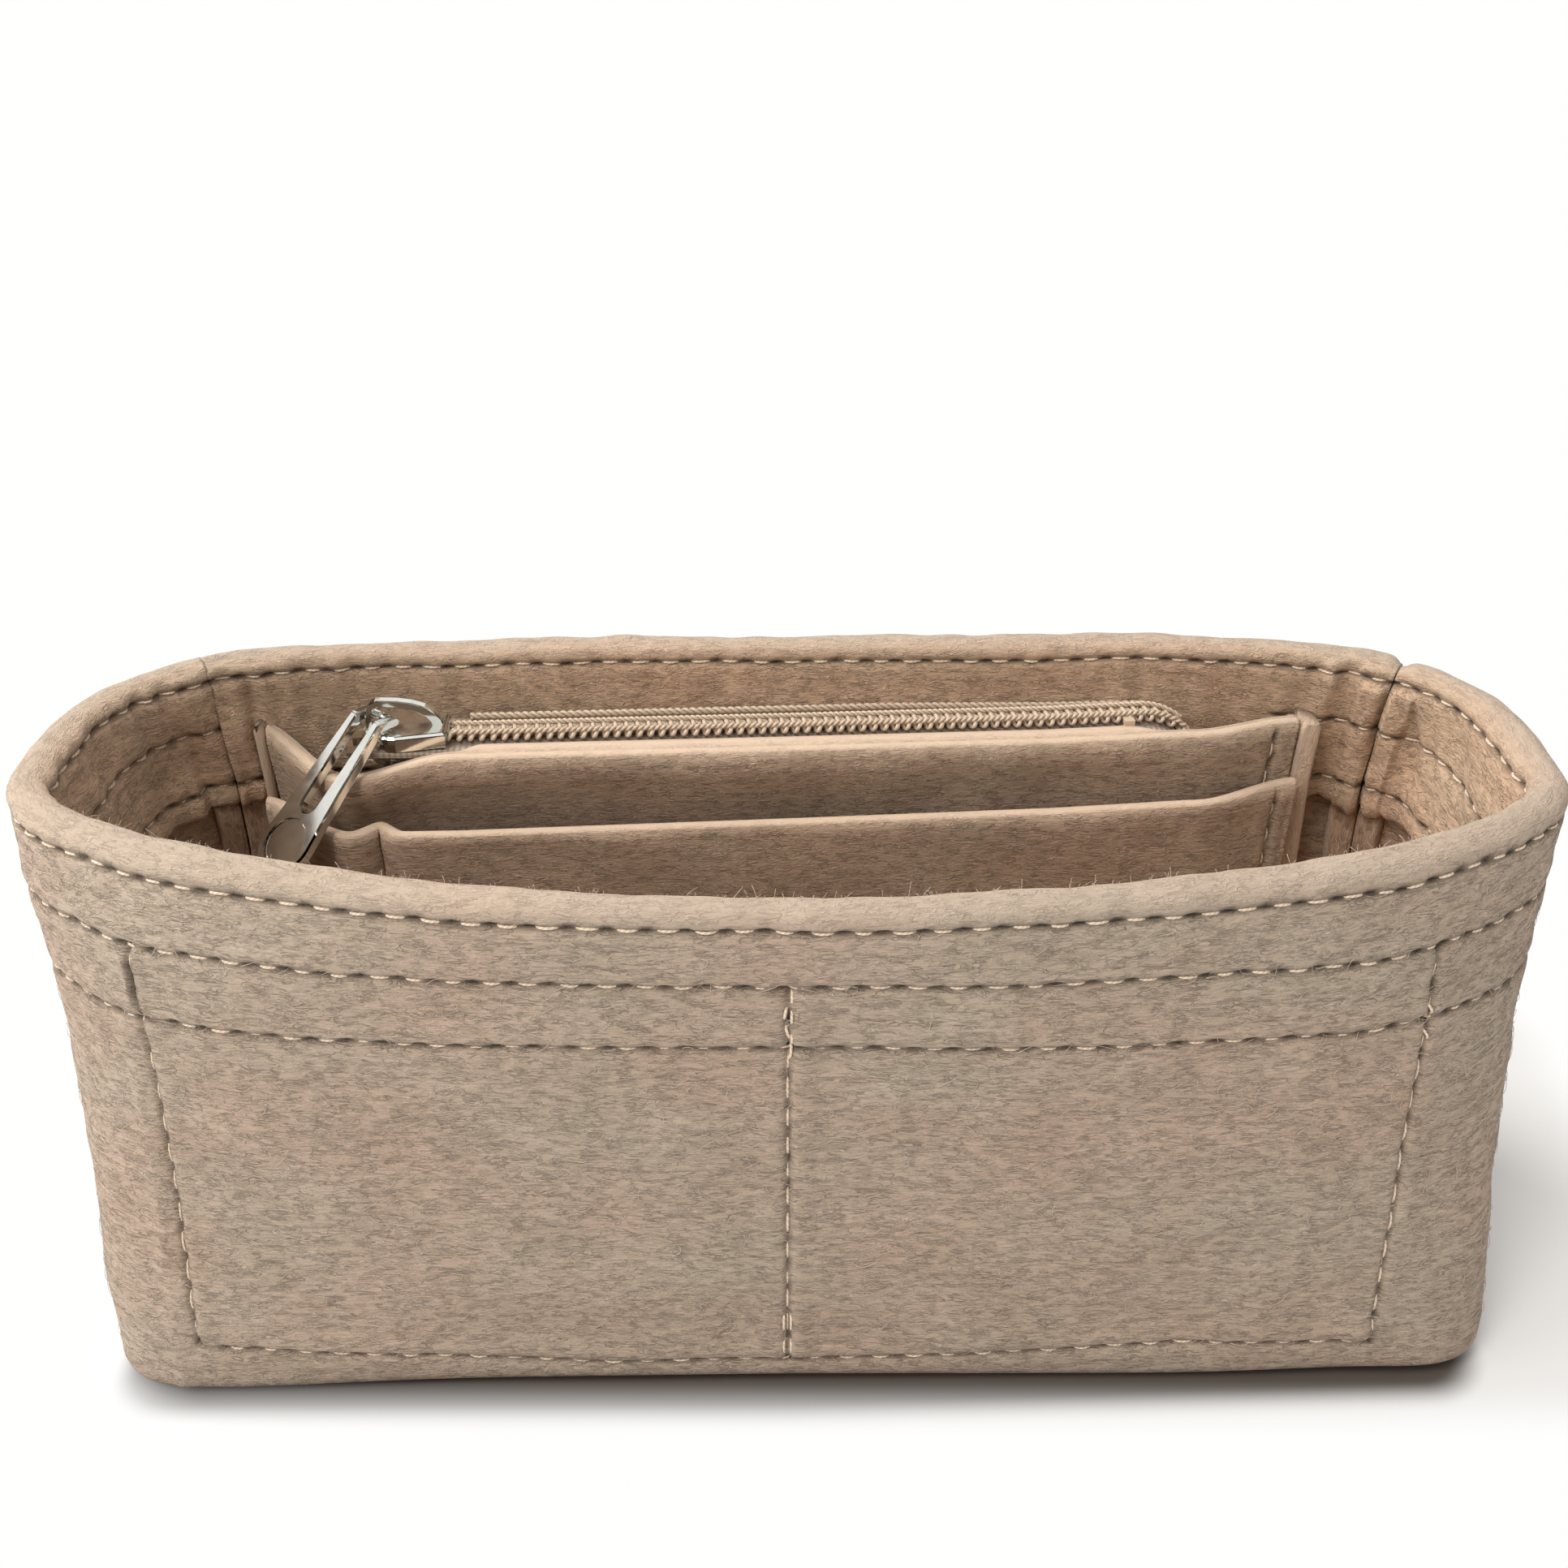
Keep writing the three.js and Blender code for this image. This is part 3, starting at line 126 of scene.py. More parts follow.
def outline_at(height):
    """Plan outline at a height, from the back centre over the left end, the front and the right end."""
    rim = min(1, max(0, height / HEIGHT))
    half_length = mix(BASE_LENGTH, RIM_LENGTH, rim) / 2
    widest_y = mix(0, RIM_WIDEST_BACKSET, rim)
    half_depth = mix(BASE_DEPTH, RIM_DEPTH, rim) / 2
    angle = math.pi / 2 + 2 * math.pi * np.arange(STEPS) / STEPS
    is_front = np.sin(angle) < 0
    reach = np.where(is_front, half_depth + widest_y, half_depth - widest_y)
    back = np.where(np.cos(angle) < 0, RIM_BACK_LEFT_ROUNDNESS, RIM_BACK_RIGHT_ROUNDNESS)
    roundness = mix(BASE_ROUNDNESS, np.where(is_front, RIM_FRONT_ROUNDNESS, back), rim)
    along_x = np.abs(np.cos(angle) / half_length) ** roundness
    along_y = np.abs(np.sin(angle) / reach) ** roundness
    radius = (along_x + along_y) ** (-1 / roundness)
    return np.c_[radius * np.cos(angle), widest_y + radius * np.sin(angle)]


def tangents_of(points):
    return unit(np.roll(points, -2, 0) - np.roll(points, 2, 0))


def inward_of(tangents):
    return np.c_[-tangents[:, 1], tangents[:, 0]]


def make_seam(seam_x):
    points = outline_at(HEIGHT)
    quarter = STEPS // 4
    steps = np.r_[0:quarter, STEPS - quarter + 1:STEPS]
    step = int(steps[np.argmin(np.abs(points[steps, 0] - seam_x))])
    return {"step": step, "tangent": tangents_of(points)[step], "origin": points[step]}


LEFT_SEAM, RIGHT_SEAM = make_seam(-LEFT_SEAM_X), make_seam(RIGHT_SEAM_X)


def seam_crossing(points, seam):
    """Fractional step and point where an outline crosses a seam's upright plane."""
    steps = seam["step"] + np.arange(-STEPS // 8, STEPS // 8)
    ahead = (points[steps % STEPS] - seam["origin"]) @ seam["tangent"]
    after = int(np.argmax(ahead >= 0))
    part = ahead[after - 1] / (ahead[after - 1] - ahead[after])
    here, there = points[steps[after - 1] % STEPS], points[steps[after] % STEPS]
    return steps[after - 1] + part, mix(here, there, part)


def strip_places(height, start_seam, end_seam, shares):
    """Points, inward normals and arc lengths at shares of the way round, from seam to seam."""
    points = outline_at(height)
    start, first = seam_crossing(points, start_seam)
    end, last = seam_crossing(points, end_seam)
    if end < start:
        end += STEPS
    inner = np.arange(math.ceil(start), math.floor(end) + 1) % STEPS
    line = np.vstack([first, points[inner], last])
    tangents = np.vstack([start_seam["tangent"], tangents_of(points)[inner], end_seam["tangent"]])
    lengths = lengths_along(line)
    wanted = mix(SEAM_GAP / 2, lengths[-1] - SEAM_GAP / 2, shares)
    return along_line(line, lengths, wanted), inward_of(unit(along_line(tangents, lengths, wanted))), wanted


def back_face_y(xs, height, inset):
    """Y of the back wall's surface at an inset, by X."""
    points = outline_at(height)
    quarter = STEPS // 4
    steps = np.arange(quarter - 1, -quarter, -1) % STEPS
    line = points[steps] + inset * inward_of(tangents_of(points)[steps])
    order = np.argsort(line[:, 0])
    return np.interp(xs, line[order, 0], line[order, 1])


# How the felt stands: the ends are drawn in by height, the foot is pushed forward by X, more at its
# front corners (push, X, width), the back rim is lifted by X, and so is the right end's foot
END_HEIGHTS = (0, 6, 11, 17, 28, 40, 51, 62, 72, 82)
LEFT_PINCH = (2.9, 3.1, 3.2, 2.9, 3.1, 3.3, 3.3, 2.6, 1.0, -0.3)
RIGHT_PINCH = (-0.6, -0.4, 0.4, 1.1, 2.2, 2.8, 3.4, 3.4, 2.4, 0.8)
BACK_LIFT_XS = (-107, -95, -85, -70, -50, 0, 40, 60, 95, 107)
BACK_LIFT = (1.0, 1.7, 2.0, 1.0, 0.4, 0.6, 0.9, 1.6, 1.4, 0.8)
FOOT_XS, FOOT_FORWARD = (-100, -55, 0, 60, 100), (2.6, 2.2, 1.3, 1.2, 1.2)
FOOT_CORNERS = ((2.6, -88, 24), (2.6, -99, 11), (3.4, 99, 13))
END_START, END_LENGTH = 72, 28
FOOT_REACH = 45
RIGHT_LIFT, RIGHT_LIFT_REACH = 0.9, 35


def settle(points):
    x, y, z = points[..., 0], points[..., 1], points[..., 2]
    pinch = np.where(x < 0, np.interp(z, END_HEIGHTS, LEFT_PINCH), np.interp(z, END_HEIGHTS, RIGHT_PINCH))
    inward = -np.sign(x) * pinch * ease((np.abs(x) - END_START) / END_LENGTH)
    push = sum(most * bell(x - at, width) for most, at, width in FOOT_CORNERS)
    push = (push + np.interp(x, FOOT_XS, FOOT_FORWARD)) * ease((-y - 5) / 25) * (1 - ease(z / FOOT_REACH))
    lift = RIGHT_LIFT * ease((x - 50) / 50) * (1 - ease(z / RIGHT_LIFT_REACH))
    lift = lift + np.interp(x, BACK_LIFT_XS, BACK_LIFT) * ease((y + 6) / 26) * ease((z - 30) / 45)
    return np.stack([x + inward, y - push, z + lift], axis=-1)


# Meshes

def add_object(name, data):
    made = bpy.data.objects.new(name, data)
    bpy.context.scene.collection.objects.link(made)
    return made


def add_mesh(name, points, faces, material, stands_for, attributes):
    mesh = bpy.data.meshes.new(name)
    mesh.from_pydata((settle(points.reshape(-1, 3)) * MM).tolist(), [], faces)
    mesh.update()
    piece = add_object(name, mesh)
    for key, values in attributes.items():
        kind = "FLOAT" if np.ndim(values) == 1 else "FLOAT_VECTOR"
        layer = mesh.attributes.new(key, kind, "POINT")
        layer.data.foreach_set("value" if kind == "FLOAT" else "vector", np.ravel(values).astype(np.float32))
    mesh.polygons.foreach_set("use_smooth", np.full(len(mesh.polygons), True))
    mesh.materials.append(material)
    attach(piece, "shell")
    if stands_for:
        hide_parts(*stands_for)
    return piece


def grid_faces(columns, rows):
    """Quads of a grid whose points run round a closed section within each column, and its two end caps."""
    faces = []
    for here in range(0, (columns - 1) * rows, rows):
        for row in range(rows):
            after = (row + 1) % rows
            faces.append((here + row, here + rows + row, here + rows + after, here + after))
    end = (columns - 1) * rows
    return faces + [tuple(range(rows)), tuple(range(end + rows - 1, end - 1, -1))]


def volume_sign(points, faces):
    flat = points.reshape(-1, 3)
    quads = np.array([face for face in faces if len(face) == 4])
    a, b, c, d = (flat[quads[:, i]] for i in range(4))
    return np.sign(np.sum(np.cross(b, c) * a) + np.sum(np.cross(c, d) * a))


def outward_faces(points, faces):
    return faces if volume_sign(points, faces) >= 0 else [face[::-1] for face in faces]


def outward_normals(points):
    """Normals of a (columns, rows, 3) grid that runs round a closed section."""
    normals = unit(np.cross(np.roll(points, -1, 1) - np.roll(points, 1, 1), np.gradient(points, axis=0)))
    return -volume_sign(points, grid_faces(*points.shape[:2])) * normals


def add_grid(name, points, run, material, stands_for=(), sink=0.0, edge_highlight=0.0, inside_light=0.0):
    """Closed sweep of a section. run is its unrolled place in mm; the last three arguments are shares: each
    point's painted shade in the seams, its painted highlight on edges and crests, and its painted light
    inside the tub."""
    shape = points.shape[:2]
    attributes = {"run": np.concatenate([run, np.zeros(shape + (1,))], axis=2).reshape(-1, 3)}
    for key, share in (("sink", sink), ("edge_highlight", edge_highlight), ("inside_light", inside_light)):
        attributes[key] = np.broadcast_to(share, shape).ravel()
    faces = outward_faces(points, grid_faces(*shape))
    return add_mesh(name, points, faces, material, stands_for, attributes)


def run_of(along, grid_column):
    """Unrolled place of a grid: along it by column, and round its section by row."""
    along = along[:, None] if np.ndim(along) == 1 else along
    return np.stack(np.broadcast_arrays(along, lengths_along(grid_column)[None, :]), axis=2)


def add_tubes(name, paths, ups, radius, sides, material, stands_for=(), squeeze=1.0):
    """One piece of many round strands: paths and ups are (strands, points, 3) in mm."""
    strands, count = paths.shape[:2]
    along = unit(np.gradient(paths, axis=1))
    aside = unit(np.cross(ups, along))
    above = np.cross(along, aside)
    angle = 2 * math.pi * np.arange(sides) / sides
    radius = np.broadcast_to(radius, (strands, count))[:, :, None, None]
    ring = (paths[:, :, None] + radius * (aside[:, :, None] * np.cos(angle)[:, None]
            + squeeze * above[:, :, None] * np.sin(angle)[:, None]))
    one = grid_faces(count, sides)
    faces = [tuple(i + strand * count * sides for i in face) for strand in range(strands) for face in one]
    run = np.zeros((strands, count, sides, 3))
    run[..., 0] = lengths_along(paths[0])[None, :, None]
    run[..., 1] = (np.arange(strands) * STITCH_PITCH)[:, None, None]
    run[..., 2] = angle / (2 * math.pi)
    return add_mesh(name, ring, outward_faces(ring, faces), material, stands_for,
                    {"run": run.reshape(-1, 3)})


# Materials

class Tree:
    """The node tree of a material or of the world."""

    def __init__(self, owner):
        owner.use_nodes = True
        self.nodes, self.links = owner.node_tree.nodes, owner.node_tree.links

    def put(self, node, **inputs):
        """Sets a node's sockets to values or links them to other sockets."""
        for key, value in inputs.items():
            self.feed(node.inputs[key.replace("_", " ")], value)

    def feed(self, socket, value):
        if isinstance(value, bpy.types.NodeSocket):
            self.links.new(value, socket)
        else:
            socket.default_value = value

    def add(self, kind, settings=(), **inputs):
        node = self.nodes.new("ShaderNode" + kind)
        for key, value in dict(settings).items():
            setattr(node, key, value)
        self.put(node, **inputs)
        return node

    def paint(self, **inputs):
        self.put(self.nodes["Principled BSDF"], **inputs)

    def attribute(self, name, output="Fac"):
        return self.add("Attribute", {"attribute_name": name}).outputs[output]

    def math(self, operation, a, b=0.0):
        node = self.add("Math", {"operation": operation})
        for socket, value in zip(node.inputs, (a, b)):
            self.feed(socket, value)
        return node.outputs["Value"]

    def weigh(self, *parts):
        """Sum of (source, weight) pairs."""
        total = 0.0
        for source, weight in parts:
            total = self.math("ADD", total, self.math("MULTIPLY", source, weight))
        return total

    def mix(self, factor, a, b, blend="MIX"):
        node = self.add("Mix", {"data_type": "RGBA", "blend_type": blend}, Factor=factor)
        for socket, value in zip(node.inputs[6:8], (a, b)):
            self.feed(socket, (*value, 1) if isinstance(value, tuple) else value)
        return node.outputs[2]

    def ramp(self, source, *stops):
        node = self.add("ValToRGB", Fac=source)
        elements = node.color_ramp.elements
        while len(elements) < len(stops):
            elements.new(0.5)
        for element, (place, value) in zip(elements, stops):
            element.position = place
            element.color = (value, value, value, 1)
        return node.outputs["Color"]

    def noise(self, source, stretch, detail=3.0, distortion=0.0, roughness=0.6):
        """Noise whose grain is stretch mm long each way, on coordinates in mm."""
        place = self.add("Mapping", Scale=[1 / length for length in stretch], Vector=source)
        node = self.add("TexNoise", Scale=1.0, Detail=detail, Roughness=roughness, Distortion=distortion)
        self.put(node, Vector=place.outputs["Vector"])
        return node.outputs["Fac"]

    def wave(self, way, source, scale, distortion, detail):
        node = self.add("TexWave", {"bands_direction": way}, Vector=source)
        self.put(node, Scale=scale, Distortion=distortion, Detail=detail)
        return node.outputs["Fac"]

    def iso_lines(self, source, stretch, width, distortion, gaps):
        """Thin curly lines where a stretched noise crosses its middle, with gaps from a second noise."""
        noise = self.noise(source, stretch, 2.0, distortion, 0.5)
        line = self.ramp(noise, (0.5 - width, 0), (0.5, 1), (0.5 + width, 0))
        shown = self.ramp(self.noise(source, gaps, 1.0, 0.0, 0.5), (0.46, 0), (0.56, 1))
        return self.math("MULTIPLY", line, shown)

    def bump(self, height, strength, distance):
        """Bump of the shader's normal, its distance in mm."""
        node = self.add("Bump", Strength=strength, Distance=distance * MM, Height=height)
        self.paint(Normal=node.outputs["Normal"])

    def seen_directly(self):
        rays = self.add("LightPath").outputs
        return self.math("MAXIMUM", rays["Is Camera Ray"], rays["Is Glossy Ray"])


def new_material(name):
    material = bpy.data.materials.new(name)
    return material, Tree(material)


# Colours of the felt: multiplied by PINK in warm patches; painted light inside, brighter and warmer, that
# stands in for light bounced round the tub; a painted highlight on edges and crests, and painted shade in the
# seams and needle holes
COOL, PINK, INSIDE_LIGHT = (0.985, 1.0, 1.0), (1.03, 0.965, 0.955), (1.28, 1.13, 0.985)
# The painted highlight's share of the light colour, and the painted shade's share of the dark colour
EDGE_HIGHLIGHT_SHARE, SEAM_SHADE_SHARE = 0.95, 0.22


def felt(name, dark, light):
    material, tree = new_material(name)
    run = tree.attribute("run", "Vector")
    streaks = tree.noise(run, (2.1, 0.34, 1), 3.0, 1.2)
    grain = tree.noise(run, (0.5, 0.28, 1), 2.0, 0.6)
    mottle = tree.noise(run, (13, 8, 1), 3.0, 0.4, 0.55)
    warmth = tree.noise(run, (34, 22, 1), 2.0, 0.3, 0.5)
    curls = tree.iso_lines(run, (5.4, 1.4, 1), 0.035, 1.5, (4.5, 2.2, 1))
    hairs = tree.iso_lines(run, (1.3, 0.42, 1), 0.07, 0.8, (2.0, 1.0, 1))
    creases = tree.iso_lines(run, (3.0, 0.6, 1), 0.05, 0.9, (3.0, 1.4, 1))
    streak_share = tree.ramp(streaks, (0.34, 0), (0.66, 1))
    mottle_share = tree.ramp(mottle, (0.3, 0), (0.7, 1))
    # Tone of the felt; the creases are made darker, painted shade in them, and the bump sinks them too
    tone = tree.weigh((streak_share, 0.4), (grain, 0.2), (mottle_share, 0.3), (curls, 0.6), (hairs, 0.3),
                      (creases, -0.5))
    pink = tree.mix(tree.ramp(warmth, (0.35, 0), (0.65, 1)), COOL, PINK)
    colour = tree.mix(1.0, tree.mix(tone, dark, light), pink, "MULTIPLY")
    # Painted light inside the tub: brighter and warmer where the inside share is set
    colour = tree.mix(tree.attribute("inside_light"), colour, tree.mix(1.0, colour, INSIDE_LIGHT, "MULTIPLY"))
    # Painted highlight on edges and crests
    edge_highlight = tree.attribute("edge_highlight")
    colour = tree.mix(edge_highlight, colour, tuple(c * EDGE_HIGHLIGHT_SHARE for c in light))
    # Painted shade in the seam lines and the needle holes
    colour = tree.mix(tree.attribute("sink"), colour, tuple(c * SEAM_SHADE_SHARE for c in dark))
    tree.paint(Base_Color=colour, Roughness=0.95, Specular_IOR_Level=0.12, Sheen_Weight=0.16,
               Sheen_Roughness=0.45, Sheen_Tint=(0.95, 0.88, 0.8, 1))
    height = tree.weigh((streaks, 0.9), (grain, 0.4), (curls, 0.8), (hairs, 0.4), (creases, -0.7))
    tree.bump(height, tree.math("SUBTRACT", 0.9, tree.math("MULTIPLY", edge_highlight, 0.6)), 0.4)
    return material


def coloured(name, pattern, dark, light, bump=None, **inputs):
    """A material that runs from dark to light by pattern, a function of its tree and unrolled place."""
    material, tree = new_material(name)
    share = pattern(tree, tree.attribute("run", "Vector"))
    tree.paint(Base_Color=tree.mix(share, dark, light), **inputs)
    if bump:
        tree.bump(share, *bump)
    return material


def tape_material():
    material, tree = new_material("woven_tape")
    run = tree.attribute("run", "Vector")
    warp, weft = tree.wave("X", run, 0.36, 0.8, 2.0), tree.wave("Y", run, 0.5, 0.6, 2.0)
    weave = tree.math("MULTIPLY", warp, weft)
    tone = tree.math("ADD", weave, tree.math("MULTIPLY", tree.noise(run, (6, 3, 1)), 0.5))
    tree.paint(Base_Color=tree.mix(tone, (0.17, 0.125, 0.088), (0.46, 0.36, 0.27)), Roughness=0.85)
    tree.bump(weave, 0.6, 0.15)
    return material


def metal_material():
    material, tree = new_material("polished_metal")
    wear = tree.noise(tree.add("TexCoord").outputs["Object"], (2.5 * MM,) * 3, 4.0)
    tree.paint(Base_Color=tree.mix(wear, (0.66, 0.66, 0.62), (0.86, 0.86, 0.82)), Metallic=1,
               Roughness=tree.math("ADD", tree.math("MULTIPLY", wear, 0.12), 0.07))
    tree.bump(wear, 0.1, 0.1)
    return material


OUTER_FELT = felt("outer_felt", (0.362, 0.276, 0.204), (0.548, 0.438, 0.342))
# Inside pieces: a brighter, warmer copy of the felt, painted light that stands in for light bounced round the
# tub
BRIGHTENED_INNER_FELT = felt("inner_felt_brightened", (0.43, 0.31, 0.215), (0.69, 0.52, 0.38))
THREAD = coloured("thread", lambda tree, run: tree.wave("DIAGONAL", run, 0.9, 0.6, 1.0), (0.6, 0.46, 0.335),
                  (0.8, 0.65, 0.5), (0.4, 0.08), Roughness=0.5, Sheen_Weight=0.2)
FUZZ = coloured("felt_fuzz", lambda tree, run: tree.noise(run, (0.8, 3.0, 1), 2.0), (0.3, 0.22, 0.16),
                (0.72, 0.6, 0.48), Roughness=0.7, Sheen_Weight=0.3)
NYLON = coloured("nylon_coil", lambda tree, run: tree.noise(run, (1.2, 1.2, 0.3)), (0.4, 0.295, 0.205),
                 (0.72, 0.575, 0.435), Roughness=0.34, Specular_IOR_Level=0.5)
TAPE, METAL = tape_material(), metal_material()


# Seams: felt is drawn in along a line, most at the needle holes, and swells on both sides; the line and the
# holes get painted shade

SEAM_WIDTH, SEAM_DEPTH = 0.46, 0.4
HOLE_LENGTH, HOLE_WIDTH, HOLE_DEPTH, HOLE_ABOVE = 0.95, 0.36, 0.5, 0.16
SWELL_AT, SWELL_WIDTH, SWELL, SWELL_BELOW = 1.9, 1.5, 0.32, 0.6
# How much painted shade the seam line and the needle holes get
LINE_SHADE, HOLE_SHADE = 0.45, 0.62


def seam_relief(across, stitch_phase):
    """Offset along the normal in mm and the share of painted shade at the place, by distance from the seam
    and stitch count.
    """
    line = bell(across, SEAM_WIDTH)
    to_hole = np.abs(stitch_phase - np.round(stitch_phase)) * STITCH_PITCH
    hole = bell(to_hole, HOLE_LENGTH) * bell(across - HOLE_ABOVE, HOLE_WIDTH)
    swell = bell(across - SWELL_AT, SWELL_WIDTH) + SWELL_BELOW * bell(across + SWELL_AT, SWELL_WIDTH)
    offset = SWELL * swell - SEAM_DEPTH * line - HOLE_DEPTH * hole
    return offset, np.clip(LINE_SHADE * line + HOLE_SHADE * hole, 0, 1)


class Threads:
    """Collects stitches, each from one needle hole up over the felt and down into the next."""
    POINTS = 7
    TOP, FOOT = -0.16, -0.9
    START, END = 0.2, 0.8

    def __init__(self):
        self.paths, self.ups = [], []

    def add(self, line, normals, at, stitches, seed, sunk=0.0, covered=None, reach=0.0):
        """at holds the shares of the seam's length at which the points of line and normals lie. The stitches
        whose X lies within covered are left out, and reach makes each one longer by a share of the pitch."""
        draw = np.random.default_rng(seed)
        for stitch in range(stitches):
            slack = draw.uniform(-0.05, 0.05, 2)
            part = np.linspace(self.START - reach + slack[0], self.END + reach + slack[1], self.POINTS)
            wanted = (stitch + part) / stitches
            normal = unit(along_line(normals, at, wanted))
            arch = np.sin(np.linspace(0, math.pi, self.POINTS)) ** 0.6
            lift = mix(self.FOOT, self.TOP - sunk * draw.uniform(0.3, 1.4) + draw.uniform(-0.06, 0.1), arch)
            place = along_line(line, at, wanted)
            if covered and covered[0] < place[0, 0] < covered[1]:
                continue
            self.paths.append(place + normal * lift[:, None])
            self.ups.append(normal)

    def make(self, name):
        return add_tubes(name, np.array(self.paths), np.array(self.ups), THREAD_RADIUS, 7, THREAD)


# Wall strips

BASE_LINE_XS, BASE_LINE_HEIGHTS = (-85.0, -66.0, -26.0, 14.5, 55.0, 82.8), (10.0, 8.0, 4.6, 5.2, 8.0, 7.0)
LOW_HEIGHTS = (4.0, 6.5, 9.0)
BAND_WIDTH, BAND_RISE = 5.6, 1.1
SECTION_EDGE = 0.9
COLUMN_SPACING = (0.42, 0.82, 6.5)
RIM_SEAM_DEPTH, SEAM_SWAY = 1.25, 0.16
# Loose felt: waves (size, scale, shift between the faces), and puckers of the facing
WAVES = ((0.2, 30, 200), (0.09, 8, 90))
PUCKER, PUCKER_AT_ENDS, PUCKER_REACH = 0.18, 0.4, 22
SEWN_EDGE_RISE, END_NOTCH = 0.5, 0.3
# What is sewn on the upright seams besides the stitches
TACK_HEIGHT, TACK_HALF, TACK_RISE, TACK_GROOVE = 66, 2.4, 0.55, 0.8
BACKTACK_LENGTH, BACKTACK_SUNK = 9.6, -0.36
TUFT_HEIGHTS, TUFT_HALF, TUFT_LEAN, TUFT_SUNK = (63.0, 59.4), 1.1, 0.7, -0.5


def spaced(start, end, seams, fine=0.28, coarse=1.7, near=2.3):
    """Values from start to end, close together near the seams."""
    sign = 1 if end > start else -1
    values = [start]
    while (end - values[-1]) * sign > fine:
        here = values[-1]
        is_near = any(abs(here + sign * coarse / 2 - seam) < near for seam in seams)
        values.append(here + sign * (fine if is_near else coarse))
    values[-1] = end
    return values


def arc_rows(inset, height, radius, start, end, steps):
    angles = np.radians(np.linspace(start, end, steps + 1))
    return [(inset + radius * math.cos(a), height + radius * math.sin(a)) for a in angles]


def wall_rows():
    """Section of the wall strip as (inset, height) rows, and the side of each: 1 out, -1 in, 0 neither."""
    fold_radius = FOLD / 2
    fold_height = HEIGHT - fold_radius
    foot = HEIGHT - FACING_DROP
    seams = (RIM_SEAM, FACING_SEAM, FOOT_SEAM)
    rows, sides = [], []

    def add(more, side):
        rows.extend(more)
        sides.extend([side] * len(more))

    add([(inset, 0) for inset in np.linspace(BASE_HEM, EDGE_RADIUS, 4)[:-1]], 0)
    add(arc_rows(EDGE_RADIUS, EDGE_RADIUS, EDGE_RADIUS, 270, 180, 9)[:-1], 1)
    add([(0, height) for height in spaced(EDGE_RADIUS, fold_height, seams + LOW_HEIGHTS)[:-1]], 1)
    arc = arc_rows(fold_radius, fold_height, fold_radius, 180, 0, 18)
    add(arc[:10], 1)
    add(arc[10:], -1)
    top = spaced(fold_height, foot + SECTION_EDGE, seams)[1:]
    add([(FOLD, height) for height in top], -1)
    add(arc_rows(FOLD - SECTION_EDGE, foot + SECTION_EDGE, SECTION_EDGE, 0, -90, 4)[1:], -1)
    add([(FELT + 0.7, foot), (FELT + 0.2, foot + 0.3)], -1)
    add([(FELT, height) for height in spaced(foot - 0.3, EDGE_RADIUS, (), coarse=2.2)[:-1]], -1)
    add(arc_rows(EDGE_RADIUS, EDGE_RADIUS, EDGE_RADIUS - FELT, 180, 270, 4), -1)
    add([(inset, FELT) for inset in np.linspace(EDGE_RADIUS, BASE_HEM, 4)[1:]], 0)
    return np.array(rows), np.array(sides)


def raised(place, height):
    """Plan points at a height."""
    return np.c_[place, height + 0 * place[:, 0]]


